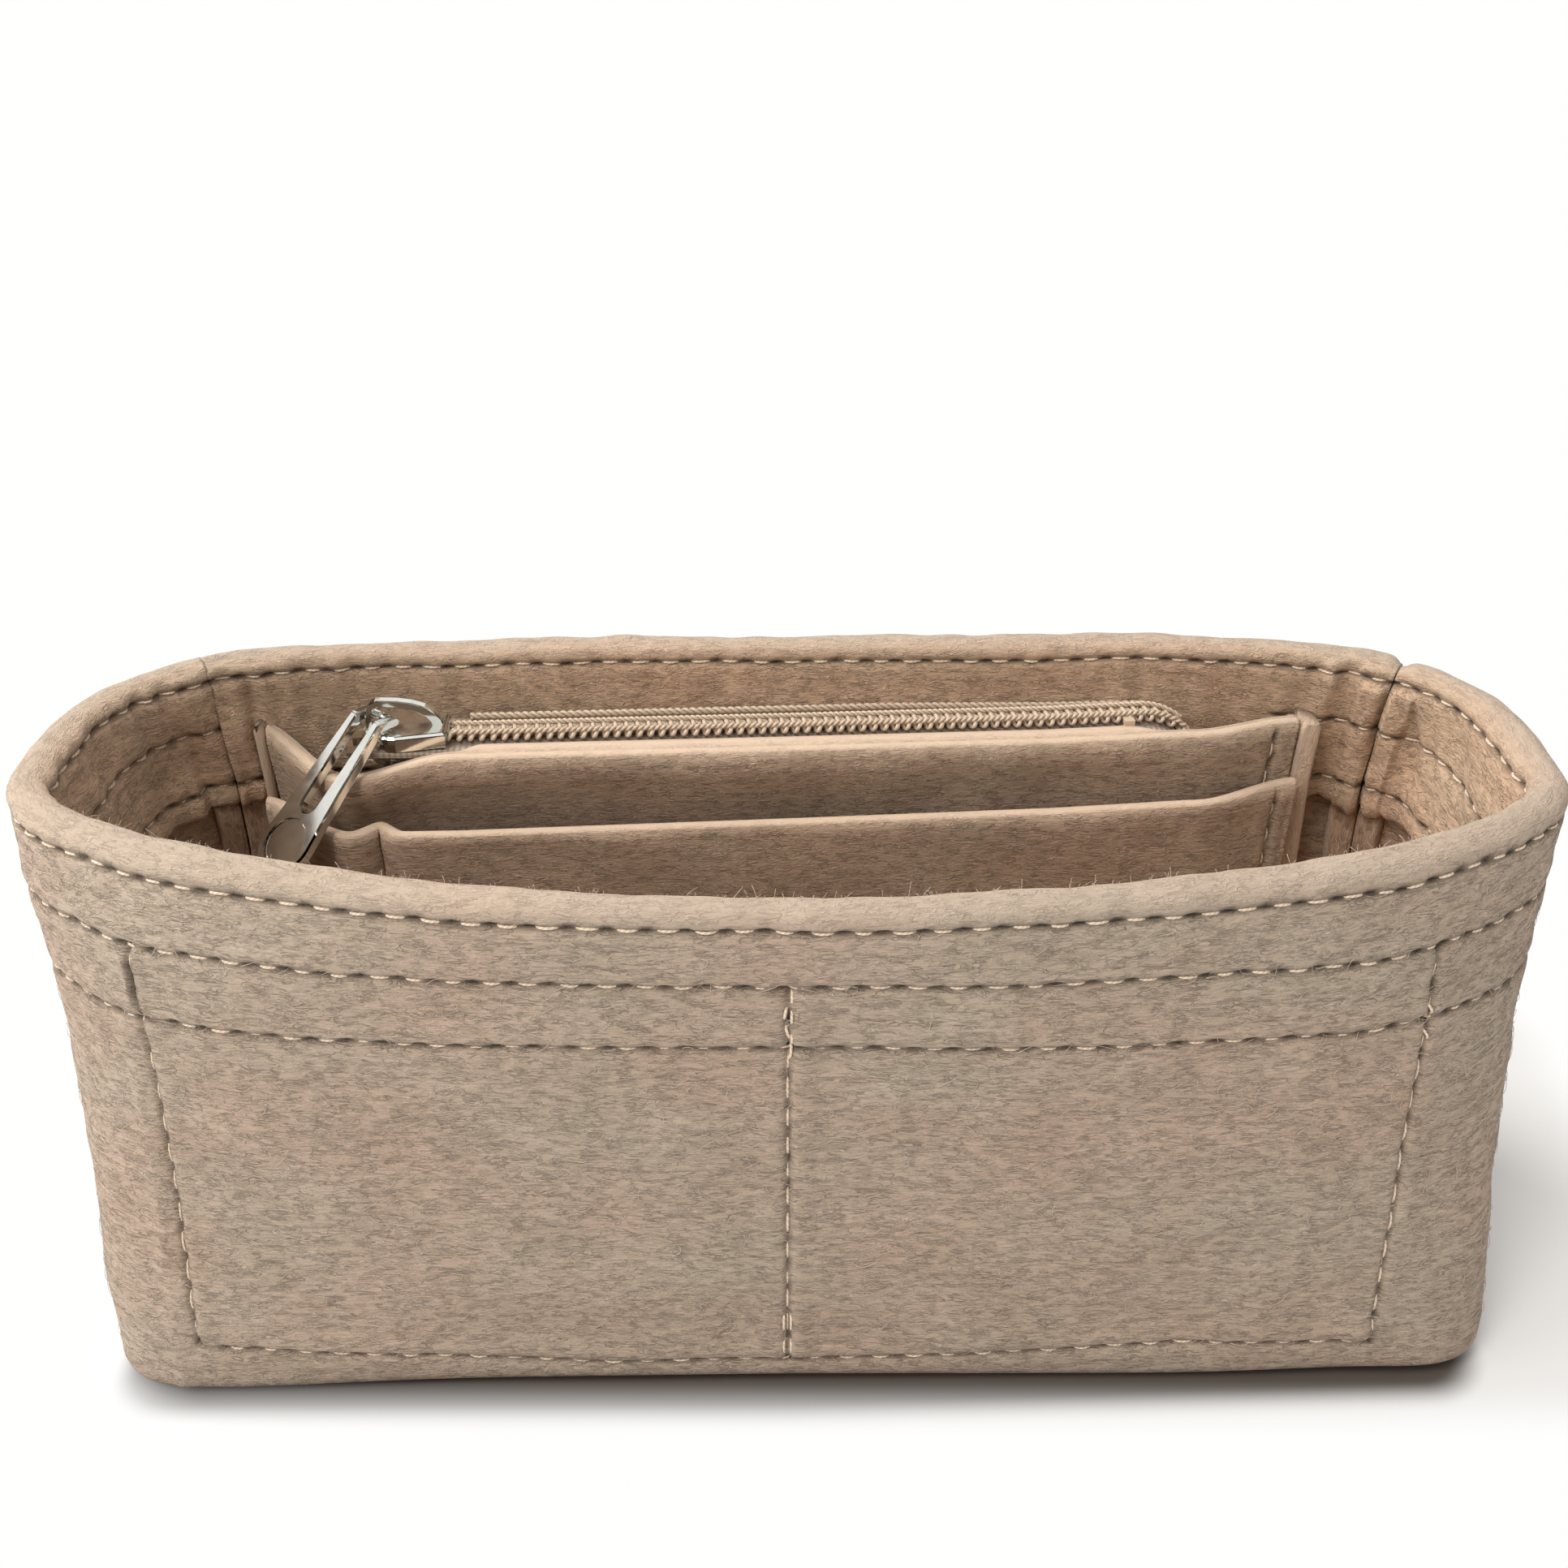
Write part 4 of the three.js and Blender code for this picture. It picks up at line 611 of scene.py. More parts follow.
class Wall:
    """One strip of the tub's wall: its grid of (share of arc, row) and what is sewn through it."""

    def __init__(self, start_seam, end_seam, bands, seed, pocket_xs=()):
        rows, self.sides = wall_rows()
        self.inset, self.height = rows.T
        self.seed, self.bands, self.pocket_xs = seed, bands, pocket_xs
        place, _, arc = strip_places(HEIGHT / 2, start_seam, end_seam, np.linspace(0, 1, 3000))
        crossings = [arc[np.argmin(np.abs(place[:, 0] - x) + 500 * (place[:, 1] > 0))] for x in pocket_xs]
        self.shares = np.array(spaced(0, arc[-1], [0, arc[-1]] + crossings, *COLUMN_SPACING)) / arc[-1]
        grid, lengths = [], []
        for inset, height in rows:
            place, inward, wanted = strip_places(height, start_seam, end_seam, self.shares)
            grid.append(raised(place + inward * inset, height))
            lengths.append(wanted[-1])
        self.grid, self.lengths = np.stack(grid, axis=1), np.array(lengths)
        self.normals = outward_normals(self.grid)
        self.arc = self.shares[:, None] * self.lengths
        self.from_ends = self.arc, self.lengths - self.arc
        self.offset = self.loose_felt()
        # Painted shade of the seams, and the relief that they draw in
        self.sink, self.relief = np.zeros(self.arc.shape), np.zeros(self.arc.shape)

    def loose_felt(self):
        """Soft waves of the felt, puckers of the facing and the seam allowances that bulge under it."""
        inside, height = self.sides < 0, self.height
        waves = sum(size * soft_noise(self.arc, height + shift * inside, scale, self.seed + number)
                    for number, (size, scale, shift) in enumerate(WAVES))
        offset = (self.sides != 0) * ease((height - 1.5) / 8) * waves
        facing = inside & (self.inset > FELT + 0.5) & (height < HEIGHT - 1)
        pucker = soft_noise(self.arc, height * 0.3, 6.5, self.seed + 2)
        at_ends = bell(np.minimum(*self.from_ends), PUCKER_REACH)
        offset = offset + facing * (PUCKER + PUCKER_AT_ENDS * at_ends) * pucker
        offset += facing * SEWN_EDGE_RISE * bell(height - (HEIGHT - FACING_DROP) - 1, 1.6)
        for strength, from_end in zip(self.bands, self.from_ends):
            band = ease((from_end - 0.1) / 1.0) * (1 - ease((from_end - BAND_WIDTH + 0.6) / 0.9))
            under = np.where(facing, ease((RIM_SEAM - 0.4 - height) / 1.2), 0)
            offset += strength * BAND_RISE * band * under
            offset -= END_NOTCH * (strength > 0.5) * bell(from_end, 0.7) * (self.sides > 0)
        return offset

    def face(self, side):
        """Rows of the outer face (side 1) or of the facing (side -1)."""
        return np.flatnonzero((self.sides == side) & ((side > 0) | (self.inset > FELT + 0.5)))

    def nearest_row(self, side, height):
        face = self.face(side)
        return face[np.argmin(np.abs(self.height[face] - height))]

    def sew(self, where, across, phase, depth=1.0, dark=1.0, rows=slice(None)):
        relief, sunk = seam_relief(across, phase)
        self.relief[:, rows] += np.where(where, depth * relief, 0)
        # Paints shade into the seam line and the needle holes
        self.paint_shade(np.where(where, np.minimum(1, dark * sunk), 0), rows)

    # Paints shade: keeps the darker of the shade already painted and the new
    def paint_shade(self, sink, rows):
        self.sink[:, rows] = np.maximum(self.sink[:, rows], sink)

    def sew_along(self, side, seam, threads, sunk=0.0, covered=None):
        row = self.nearest_row(side, seam)
        count = int(round(self.lengths[row] / STITCH_PITCH))
        where = (self.sides == side) & (np.abs(self.height - seam) < 6)
        if covered:
            where = where & ((self.grid[:, :, 0] < covered[0]) | (self.grid[:, :, 0] > covered[1]))
        sway = SEAM_SWAY * soft_noise(self.arc, 0 * self.arc, 16, self.seed + 9)
        depth = RIM_SEAM_DEPTH if seam == RIM_SEAM else 1.0
        self.sew(where, self.height - seam - sway, self.shares[:, None] * count, depth, depth)
        line, normal = self.surface(self.arc[:, row], seam + sway[:, row], side)
        threads.add(line, normal, self.shares, count, self.seed + int(seam) + side, sunk, covered)

    def surface(self, arc, height, side=1):
        """Points and normals of a face at places (mm round, mm up), before the seams draw it in."""
        face = self.face(side)
        face = face[np.argsort(self.height[face], kind="stable")]
        at = np.interp(height, self.height[face], np.arange(len(face)))
        low = np.clip(at.astype(int), 0, len(face) - 2)
        part = (at - low)[..., None]
        share = arc / mix(self.lengths[face[low]], self.lengths[face[low + 1]], at - low)
        column = np.interp(share, self.shares, np.arange(len(self.shares)))
        left = np.clip(column.astype(int), 0, len(self.shares) - 2)
        aside = (column - left)[..., None]

        def blend(field):
            below = mix(field[left, face[low]], field[left + 1, face[low]], aside)
            above = mix(field[left, face[low + 1]], field[left + 1, face[low + 1]], aside)
            return mix(below, above, part)
        return blend(self.grid + self.normals * self.offset[:, :, None]), unit(blend(self.normals))

    def arc_at_x(self, seam_x, height):
        """Arc of the front face at an X and a height."""
        row = self.nearest_row(1, height)
        front = np.flatnonzero(self.grid[:, row, 1] < 0)
        return np.interp(seam_x, self.grid[front, row, 0], self.arc[front, row])

    def sew_pockets(self, threads):
        """Upright seams of the front pockets and the line along their floor."""
        face = np.flatnonzero((self.sides == 1) & (self.height > 2) & (self.height < FACING_SEAM + 1))
        heights = self.height[face]

        def stitch(arcs, places, aside, count, seed, sunk, reach):
            line, normal = self.surface(np.interp(places, heights, arcs) + aside, places)
            shares = np.linspace(0, 1, len(places))
            threads.add(line, normal, shares, count, self.seed + seed, sunk, reach=reach)

        for number, seam_x in enumerate(self.pocket_xs):
            low = float(np.interp(seam_x, BASE_LINE_XS, BASE_LINE_HEIGHTS))
            sparse = heights[::4]
            arcs = np.interp(heights, sparse, [self.arc_at_x(seam_x, height) for height in sparse])
            across = self.arc[:, face] - arcs
            stitches = int(round((FACING_SEAM - low) / STITCH_PITCH))
            phase = (heights - low) / (FACING_SEAM - low) * stitches
            sewn = (heights > low - 0.5) & (heights < FACING_SEAM + 0.3)
            self.sew(sewn, across, phase, dark=0.9, rows=face)
            stitch(arcs, np.linspace(low, FACING_SEAM, 90), 0, stitches, 40 + number, 0.12, 0.1)
            if number == 0:
                tack = bell(np.clip(np.abs(heights - TACK_HEIGHT) - TACK_HALF, 0, None), 0.8)
                tack_relief = TACK_RISE * bell(across, 1.3) - TACK_GROOVE * bell(across, 0.4)
                self.relief[:, face] += tack * tack_relief
                # Painted shade in the bartack's groove
                self.paint_shade(0.95 * tack * bell(across, 0.7), face)
                self.relief[:, face] += 0.45 * ease((62 - heights) / 6) * bell(across + 3.6, 1.7)
            if number == 1:
                for start, count, shift, turn in (
                        (FACING_SEAM - BACKTACK_LENGTH, 3, 0.5, 0), (FACING_SEAM - 12, 3, 0, 2),
                        (low, 2, 0.5, 0), (low, 2, -0.5, 0)):
                    again = np.linspace(start, start + BACKTACK_LENGTH, 40)
                    swing = shift + 0.4 * np.sin(turn * math.pi * (again - start) / BACKTACK_LENGTH)
                    stitch(arcs, again, swing, count, 51, BACKTACK_SUNK, 0.12)
            if number == 2:
                for tuft_height in TUFT_HEIGHTS:
                    again = np.linspace(tuft_height - TUFT_HALF, tuft_height + TUFT_HALF, 12)
                    stitch(arcs, again, TUFT_LEAN * (tuft_height - again), 1, 70, TUFT_SUNK, 0.15)
        columns, depths = self.grid[:, face[len(face) // 4], :2].T
        floor_line = np.interp(columns, BASE_LINE_XS, BASE_LINE_HEIGHTS)
        between = (depths < 0) & (columns > self.pocket_xs[0] - 0.3) & (columns < self.pocket_xs[-1] + 0.3)
        arc = self.arc[:, face[0]]
        start, length = arc[between][0], np.ptp(arc[between])
        stitches = int(round(length / STITCH_PITCH))
        across = heights - floor_line[:, None]
        phase = ((arc - start) / length * stitches)[:, None]
        self.sew(between[:, None] & (np.abs(across) < 5), across, phase, dark=0.9, rows=face)
        line, normal = self.surface(arc[between], floor_line[between])
        threads.add(line, normal, (arc[between] - start) / length, stitches, self.seed + 60, 0.12)

    def make(self, name, node):
        final = self.grid + self.normals * (self.offset + self.relief)[:, :, None]
        top = ease((self.height - (HEIGHT - 4)) / 4)
        along = unit(np.gradient(self.grid, axis=0))
        for strength, from_end, way in zip(self.bands, self.from_ends, (-1, 1)):
            if strength < 0.5:
                final += way * 0.16 * along * bell(from_end, 2.0)[:, :, None]
            else:
                final[:, :, 2] -= 0.9 * strength * top * bell(from_end, 1.4)
        # Painted highlight along the rim's crest, and painted light on the inside of the facing
        edge_highlight = 0.5 * bell(self.height - HEIGHT, 2.6)
        inside_light = np.where(self.sides < 0, ease((self.inset - FELT) / 2.5 + (self.height < HEIGHT - 4)), 0)
        run = run_of(self.arc, self.grid[0])
        add_grid(name, final, run, OUTER_FELT, [node], self.sink, edge_highlight, inside_light)


ZIP_COVERS = (-92, 76)
THREADS = Threads()
FRONT = Wall(LEFT_SEAM, RIGHT_SEAM, (0.3, 1.0), 11, POCKET_SEAM_XS)
BACK = Wall(RIGHT_SEAM, LEFT_SEAM, (1.0, 0.3), 31)
for wall in (FRONT, BACK):
    for side in (1, -1):
        wall.sew_along(side, RIM_SEAM, THREADS)
        wall.sew_along(side, FACING_SEAM, THREADS, 0.06, ZIP_COVERS if (wall, side) == (BACK, -1) else None)
        wall.sew_along(side, FOOT_SEAM, THREADS, 0.2)
FRONT.sew_pockets(THREADS)
FRONT.make("felt_front_wall", "front_wall")
BACK.make("felt_back_wall", "back_wall")


# Loose fibres: curls that lie on the faces, and fuzz that stands on the rim's crest at the front

CURL_POINTS, RIM_FUZZ_Y = 7, -15
FIBRE_SIDES, FUZZ_RADIUS = 3, 0.036


def curls(name, wall, count, seed):
    draw = np.random.default_rng(seed)
    step = draw.uniform(0.25, 0.75, count)
    heading = draw.normal(0, 0.4, count) + math.pi * draw.integers(0, 2, count)
    bend = draw.normal(0, 0.28, count)
    arc = draw.uniform(2, wall.lengths.min() - 2, count)
    height = 6 + (HEIGHT - 9) * draw.uniform(0, 1, count) ** 0.8
    places = []
    for _ in range(CURL_POINTS):
        places.append(np.stack([arc, height], axis=1))
        arc = np.clip(arc + step * np.cos(heading), 0.5, wall.lengths.min() - 0.5)
        height = np.clip(height + step * np.sin(heading), 4, HEIGHT - 3)
        heading = heading + bend + draw.normal(0, 0.2, count)
    places = np.stack(places, axis=1)
    line, normal = wall.surface(places[..., 0], places[..., 1])
    arch = np.sin(np.linspace(0, math.pi, CURL_POINTS))[None, :, None]
    line = line + normal * mix(-0.04, draw.uniform(0.05, 0.3, (count, 1, 1)), arch)
    radius = draw.uniform(0.035, 0.06, (count, 1)) * np.linspace(1, 0.6, CURL_POINTS)[None, :]
    add_tubes(name, line, normal, radius, FIBRE_SIDES, FUZZ)


def rim_fuzz(name, wall, count, seed):
    draw = np.random.default_rng(seed)
    crest = np.flatnonzero(wall.height > HEIGHT - 0.9)
    columns = np.flatnonzero(wall.grid[:, crest[0], 1] < RIM_FUZZ_Y)
    final = wall.grid + wall.normals * wall.offset[:, :, None]
    column = columns[draw.integers(0, len(columns), count)]
    row = crest[draw.integers(len(crest) // 3, len(crest), count)]
    root, up = final[column, row], wall.normals[column, row]
    along = unit(wall.grid[column + 1, row] - wall.grid[column - 1, row])
    lean = draw.normal(0, 1.4, (count, 1)) * along + draw.normal(0, 0.4, (count, 3))
    length = draw.gamma(2.0, 0.22, (count, 1)).clip(0.15, 1.5)
    share = np.linspace(0, 1, 6)[None, :, None]
    direction = unit(up + 0.8 * lean)[:, None, :]
    curl = draw.normal(0, 0.55, (count, 1, 3))
    path = root[:, None, :] - 0.1 * up[:, None, :] + length[:, None, :] * share * (direction + curl * share)
    ups = np.broadcast_to(along[:, None, :], path.shape) + 0.01
    add_tubes(name, path, ups, FUZZ_RADIUS, FIBRE_SIDES, FUZZ)


curls("felt_curls_front", FRONT, 3000, 201)
curls("felt_curls_back", BACK, 900, 202)
rim_fuzz("rim_fuzz_front", FRONT, 1500, 203)


# Seam allowances, pressed flat against the wall below the facing where the two strips meet

ALLOWANCE_THICKNESS, ALLOWANCE_RADIUS = 2.0, 0.8


def seam_allowance(name, seam, side, seed):
    foot = HEIGHT - FACING_DROP
    levels = np.r_[np.linspace(3.4, foot - 1.0, 60), foot - 0.6, foot - 0.3]
    width, thickness, radius = BAND_WIDTH, ALLOWANCE_THICKNESS, ALLOWANCE_RADIUS
    corners = [(0.15, 0.0), (0.15, thickness - 0.3), (0.45, thickness)]
    corners += [(share * width, thickness) for share in (0.25, 0.5, 0.7)]
    corners += [(width - radius + radius * math.sin(a), thickness - radius + radius * math.cos(a))
                for a in np.radians([0, 30, 60, 90])]
    section = np.array(corners + [(width, 0.0)])
    across, above = section.T
    grid = []
    for height in levels:
        points = outline_at(height)
        tangents = tangents_of(points)
        step, _ = seam_crossing(points, seam)
        here = int(step) % STEPS
        at = step + side * across / np.linalg.norm(points[(here + 1) % STEPS] - points[here])
        low = np.floor(at).astype(int)
        low, after, part = low % STEPS, (low + 1) % STEPS, (at - low)[:, None]
        inward = inward_of(unit(mix(tangents[low], tangents[after], part)))
        wave = 0.25 * soft_noise(height, side * 5.0, 14, seed)
        wave += 0.5 * (1 - ease(height / 9))
        lift = FELT + 0.05 + above * mix(0.75, 1.0, ease((levels[-1] - height) / 1.2)) + (above > 0) * wave
        grid.append(raised(mix(points[low], points[after], part) + inward * lift[:, None], height))
    # Painted highlight on the allowance's free edge, and the painted inside light all over it
    edge_highlight = 0.45 * (across > width - 1.0)
    add_grid(name, np.array(grid), run_of(levels, section), OUTER_FELT, edge_highlight=edge_highlight, inside_light=1.0)


for allowance, seam, side, seed in (("left_front", LEFT_SEAM, 1, 51), ("left_back", LEFT_SEAM, -1, 52),
                                    ("right_back", RIGHT_SEAM, 1, 53), ("right_front", RIGHT_SEAM, -1, 54)):
    seam_allowance("seam_allowance_" + allowance, seam, side, seed)


# Base panel

def base_panel():
    points = outline_at(0)[::3]
    tangents = unit(np.roll(points, -1, 0) - np.roll(points, 1, 0))
    rim = points + (BASE_HEM + SEAM_GAP) * inward_of(tangents)
    shares = np.r_[0.0, np.linspace(0.06, 0.985, 34), 0.995, 1.0]
    top = [(share, FELT - (0.35 if share == 1 else 0.08 if share > 0.99 else 0)) for share in shares]
    bottom = [(share, 0.35 if share == 1 else 0.0) for share in shares[::-1]]
    grid = np.array([raised(rim * max(share, 0.001), height) for share, height in top + bottom])
    wave = 0.18 * soft_noise(grid[:, :, 0], grid[:, :, 1], 24, 61)
    grid[:len(top), :, 2] += wave[:len(top)] - 0.1
    # The top of the base gets part of the painted inside light
    add_grid("felt_base", grid, grid[:, :, :2].copy(), OUTER_FELT, ["base_panel"], inside_light=0.6)


base_panel()


# Front pocket panel

POCKET_HALF_LENGTH, POCKET_TOP, POCKET_BULGE = 86, 71, 6
POCKET_SEAM_INSET, POCKET_STITCHES, PANEL_STITCHES = 2.2, 14, 13
PANEL_LOW = FELT + FLOOR_GAP
CROWN_RADIUS = 0.8


def sheet_section(heights):
    """A sheet's section as (across, height share, is_edge): up its outer face, over its crown and down."""
    outer = [(0.0, share, 0.0) for share in heights[:-1]]
    inner = [(FELT, share, 0.0) for share in heights[-2::-1]]
    angles = np.radians([30, 60, 90, 120, 150])
    crown = [(FELT / 2 - FELT / 2 * math.cos(a), heights[-1], math.sin(a)) for a in angles]
    return outer, crown, inner


def sew_sheet(grid, normals, along, seams, face, sewn, base, stitches, threads, seed, wave):
    """Sews upright seams on a sheet's face: adds their relief to wave and returns the painted shade of its
    points.
    """
    sink = np.zeros(grid.shape[:2])
    for seam_at in seams:
        relief, sunk = seam_relief((along - seam_at)[:, None], (grid[:, :, 2] - PANEL_LOW) / STITCH_PITCH)
        wave += np.where(sewn, relief, 0)
        sink = np.maximum(sink, np.where(sewn, sunk, 0))
        column = int(np.argmin(np.abs(along - seam_at)))
        line = grid[column, face]
        rise = line[:, 2] - (line[0, 2] if base is None else base)
        threads.add(line, normals[column, face], rise / rise[-1], stitches, seed)
    return sink


def front_pocket():
    shares = np.linspace(0, 1, 280)
    outer, crown, inner = sheet_section(np.r_[np.linspace(0, 0.96, 34), 0.985, 1.0])
    rows = outer + crown + inner
    sway = np.sin(2 * math.pi * shares) ** 2
    slack = POCKET_BULGE * sway
    grid = []
    for across, height_share, crest in rows:
        height = mix(PANEL_LOW, POCKET_TOP, height_share) - 0.8 + crest * CROWN_RADIUS
        ends, _, arc = strip_places(height, LEFT_SEAM, RIGHT_SEAM, np.array([0.0, 1.0]))
        extra = np.hypot(-ends[0, 0] - ends[1, 0], ends[0, 1] - ends[1, 1])
        total = arc[1] + SEAM_GAP / 2
        middle = (total + extra) / (2 * total)
        stations = middle + (2 * shares - 1) * POCKET_HALF_LENGTH / total
        place, inward, _ = strip_places(height, LEFT_SEAM, RIGHT_SEAM, stations)
        inset = FOLD + 1.0 + slack * ease(height_share) + across
        grid.append(raised(place + inward * inset[:, None], height - 0.5 * sway * height_share))
    grid = np.stack(grid, axis=1)
    normals = outward_normals(grid)
    arc_run = shares * 2 * POCKET_HALF_LENGTH
    wave = 0.3 * soft_noise(arc_run[:, None], grid[:, :, 2], 24, 71) * ease(grid[:, :, 2] / 12)
    face = np.arange(len(outer) + len(crown) + 1, len(rows))[::-1]
    seams = (POCKET_SEAM_INSET, POCKET_HALF_LENGTH, 2 * POCKET_HALF_LENGTH - POCKET_SEAM_INSET)
    sink = sew_sheet(grid, normals, arc_run, seams, face, True, PANEL_LOW, POCKET_STITCHES, THREADS, 72, wave)
    final = grid + normals * wave[:, :, None]
    # Painted highlight on the pocket's crown
    edge_highlight = np.array([crest for _, _, crest in rows]) * 0.7
    add_grid("felt_front_pocket", final, run_of(arc_run, grid[len(shares) // 3]), BRIGHTENED_INNER_FELT,
             ["front_pocket_panel"], sink, edge_highlight)


front_pocket()


# Back pocket group

POCKETS_LEFT, POCKETS_RIGHT = 82.2, 79.6
ZIP_PANEL_TOP, ZIP_PANEL_DIP, ZIP_PANEL_DIP_X, ZIP_PANEL_DIP_LENGTH = 72.6, 4.4, -70, 20
BEND_LEFT, BEND_RIGHT, ZIP_PANEL_END_Y = 17, 18, 29.4
TAPE_FRONT_REACH = 5.6
SLIP_PANEL_AHEAD = 6
SLIP_TOP_LEFT, SLIP_TOP_RIGHT = 62.4, 64.4
SLIP_LEFT_END_Y, SLIP_RIGHT_END_Y = 22.4, 25.4
PEN_SLOT_X, PEN_SLOT_VALLEY, PEN_SLOT_VALLEY_LENGTH = -62.5, 3.0, 4.5


def zip_y(x):
    return ZIP_CENTRE_Y + x * ZIP_SLOPE


def straight_share(x):
    return ease((x + POCKETS_LEFT) / BEND_LEFT) * ease((POCKETS_RIGHT - x) / BEND_RIGHT)


def zip_panel_top_y(x):
    return mix(ZIP_PANEL_END_Y, zip_y(x) - TAPE_FRONT_REACH - SEAM_GAP, straight_share(x))


def zip_panel_top_z(x):
    return ZIP_PANEL_TOP - ZIP_PANEL_DIP * (1 - ease(np.abs(x - ZIP_PANEL_DIP_X) / ZIP_PANEL_DIP_LENGTH))


def slip_panel_top_y(x):
    valley = 1 - ease(np.abs(x - PEN_SLOT_X) / PEN_SLOT_VALLEY_LENGTH)
    ahead = zip_y(x) - TAPE_FRONT_REACH - SEAM_GAP - SLIP_PANEL_AHEAD + PEN_SLOT_VALLEY * valley
    return mix(np.where(x < 0, SLIP_LEFT_END_Y, SLIP_RIGHT_END_Y), ahead, straight_share(x))


def slip_panel_top_z(x):
    share = (x + POCKETS_LEFT) / (POCKETS_LEFT + POCKETS_RIGHT)
    return mix(SLIP_TOP_LEFT, SLIP_TOP_RIGHT, share)


# Section of the zip panel's lip over the tape: (share of its reach, drop, share of painted highlight)
LIP_ROWS = ((0.0, -0.75, 0.2), (0.5, -0.72, 0.4), (1.0, -0.66, 0.9), (1.04, -0.45, 1.0), (1.0, -0.22, 1.0),
            (0.5, -0.1, 1.0))


def upright_panel(name, node, top_y, top_z, foot_inset, lean_power, upright, seed, threads, lip, groove_xs):
    xs = np.linspace(SEAM_GAP - POCKETS_LEFT, POCKETS_RIGHT - SEAM_GAP, 330)
    outer, crown, inner = sheet_section(np.r_[np.linspace(0, 0.94, 36), 0.96, 0.98, 1.0])
    foot = back_face_y(xs, PANEL_LOW, FOLD) - foot_inset

    def face_y(at, share):
        start = np.interp(at, xs, foot)
        return mix(start, np.minimum(start, top_y(at)), min(1, share / upright) ** lean_power)

    grid, crest_of = [], []
    for across, share, crest in outer + crown + inner:
        turn = (face_y(xs + FELT, share) - face_y(xs - FELT, share)) / (2 * FELT)
        length = np.hypot(1, turn)
        height = mix(PANEL_LOW, top_z(xs) - CROWN_RADIUS, share) + crest * CROWN_RADIUS
        x = xs + across * turn / length * ease(np.minimum(xs - xs[0], xs[-1] - xs) / 3)
        grid.append(np.stack([x, face_y(xs, share) - across / length, height], axis=1))
        crest_of.append(crest)
    if lip is not None:
        top, edge_y, place = top_z(xs), face_y(xs, 1.0), len(outer)
        grid[place:place] = [np.stack([xs, edge_y + lip(xs) * share, top + drop], axis=1)
                             for share, drop, _ in LIP_ROWS]
        # The lip's rows carry a painted highlight
        crest_of[place:place] = [highlight_share for _, _, highlight_share in LIP_ROWS]
        for rows in grid[place - 3:place]:
            rows[:, 2] = np.minimum(rows[:, 2], top - 0.8)
    grid, crest_of = np.stack(grid, axis=1), np.array(crest_of)
    normals = outward_normals(grid)
    wave = 0.28 * soft_noise(xs[:, None], grid[:, :, 2], 22, seed) * ease(grid[:, :, 2] / 15)
    count = grid.shape[1]
    face = np.arange(count)[::-1][:len(inner)]
    sewn = np.arange(count) >= count - len(inner)
    sink = sew_sheet(grid, normals, xs, groove_xs, face, sewn, None, PANEL_STITCHES, threads, seed + 5, wave)
    final = grid + normals * (wave * (crest_of < 0.1))[:, :, None]
    # Painted shade in the panel's seams, and a painted highlight on its crest and lip
    return add_grid(name, final, run_of(xs, grid[len(xs) // 2]), BRIGHTENED_INNER_FELT, [node], sink,
                    crest_of * 0.85)


ZIP_LIP_REACH, ZIP_LIP_LEFT, ZIP_LIP_RIGHT = 2.6, -51, 58


def zip_lip(x):
    """How far the zip panel's top reaches over the front tape."""
    return ZIP_LIP_REACH * ease((x - ZIP_LIP_LEFT) / 4) * ease((ZIP_LIP_RIGHT - x) / 6)


ZIP_PANEL_THREADS, SLIP_PANEL_THREADS = Threads(), Threads()
RIGHT_GROOVE_X = 74.5
ZIP_PANEL = upright_panel("felt_zip_panel", "zip_panel", zip_panel_top_y, zip_panel_top_z, SEAM_GAP, 2.6,
                          0.965, 81, ZIP_PANEL_THREADS, zip_lip, (RIGHT_GROOVE_X,))
SLIP_PANEL = upright_panel("felt_slip_panel", "slip_pocket_panel", slip_panel_top_y, slip_panel_top_z,
                           FELT + 2 * SEAM_GAP, 0.7, 1.0, 91, SLIP_PANEL_THREADS, None,
                           (PEN_SLOT_X, RIGHT_GROOVE_X))
ZIP_PANEL_STITCHES = ZIP_PANEL_THREADS.make("stitches_zip_panel")
SLIP_PANEL_STITCHES = SLIP_PANEL_THREADS.make("stitches_slip_panel")


# End strips of the back pockets

def end_strip(name, node, inner_x, outer_x, front_y, top, seed):
    levels = np.r_[np.linspace(PANEL_LOW, top - 1.0, 50), top - 0.5, top - 0.15, top]
    sign = math.copysign(1, outer_x - inner_x)
    width = abs(outer_x - inner_x)
    radius = min(0.7, width / 2)
    grid = []
    for height in levels:
        back, far_back = back_face_y([inner_x, outer_x], height, FOLD) - SEAM_GAP
        shrink = 0.5 * ease((height - (top - 1.0)) / 1.0)
        section = [(shrink, mix(back, front_y + radius, share)) for share in (0, 0.33, 0.66, 1)]
        section += [(radius - radius * math.cos(a) + shrink, front_y + radius - radius * math.sin(a))
                    for a in np.radians([30, 60, 90])]
        section += [(width - radius + radius * math.sin(a) - shrink, front_y + radius - radius * math.cos(a))
                    for a in np.radians([0, 30, 60, 90])]
        section += [(width - shrink, mix(front_y + radius, far_back, share)) for share in (0.33, 0.66, 1)]
        bend = 0.25 * soft_noise(height, 3.0, 26, seed)
        grid.append([(inner_x + sign * (across + bend), y, height) for across, y in section])
    grid = np.array(grid)
    run = np.stack(np.broadcast_arrays(levels[:, None], np.arange(grid.shape[1])[None, :] * 0.9), axis=2)
    # Painted highlight on the strip's front edges
    add_grid(name, grid, run, BRIGHTENED_INNER_FELT, [node], edge_highlight=0.6 * (grid[:, :, 1] < front_y + 1))


end_strip("felt_end_strip_left", "pocket_end_strip_left", -82.2, -83.8, 26.2, 71.6, 95)
end_strip("felt_end_strip_right", "pocket_end_strip_right", 79.6, 83.1, 26.2, 72.4, 96)


# Zip, modelled along X and then turned to its place

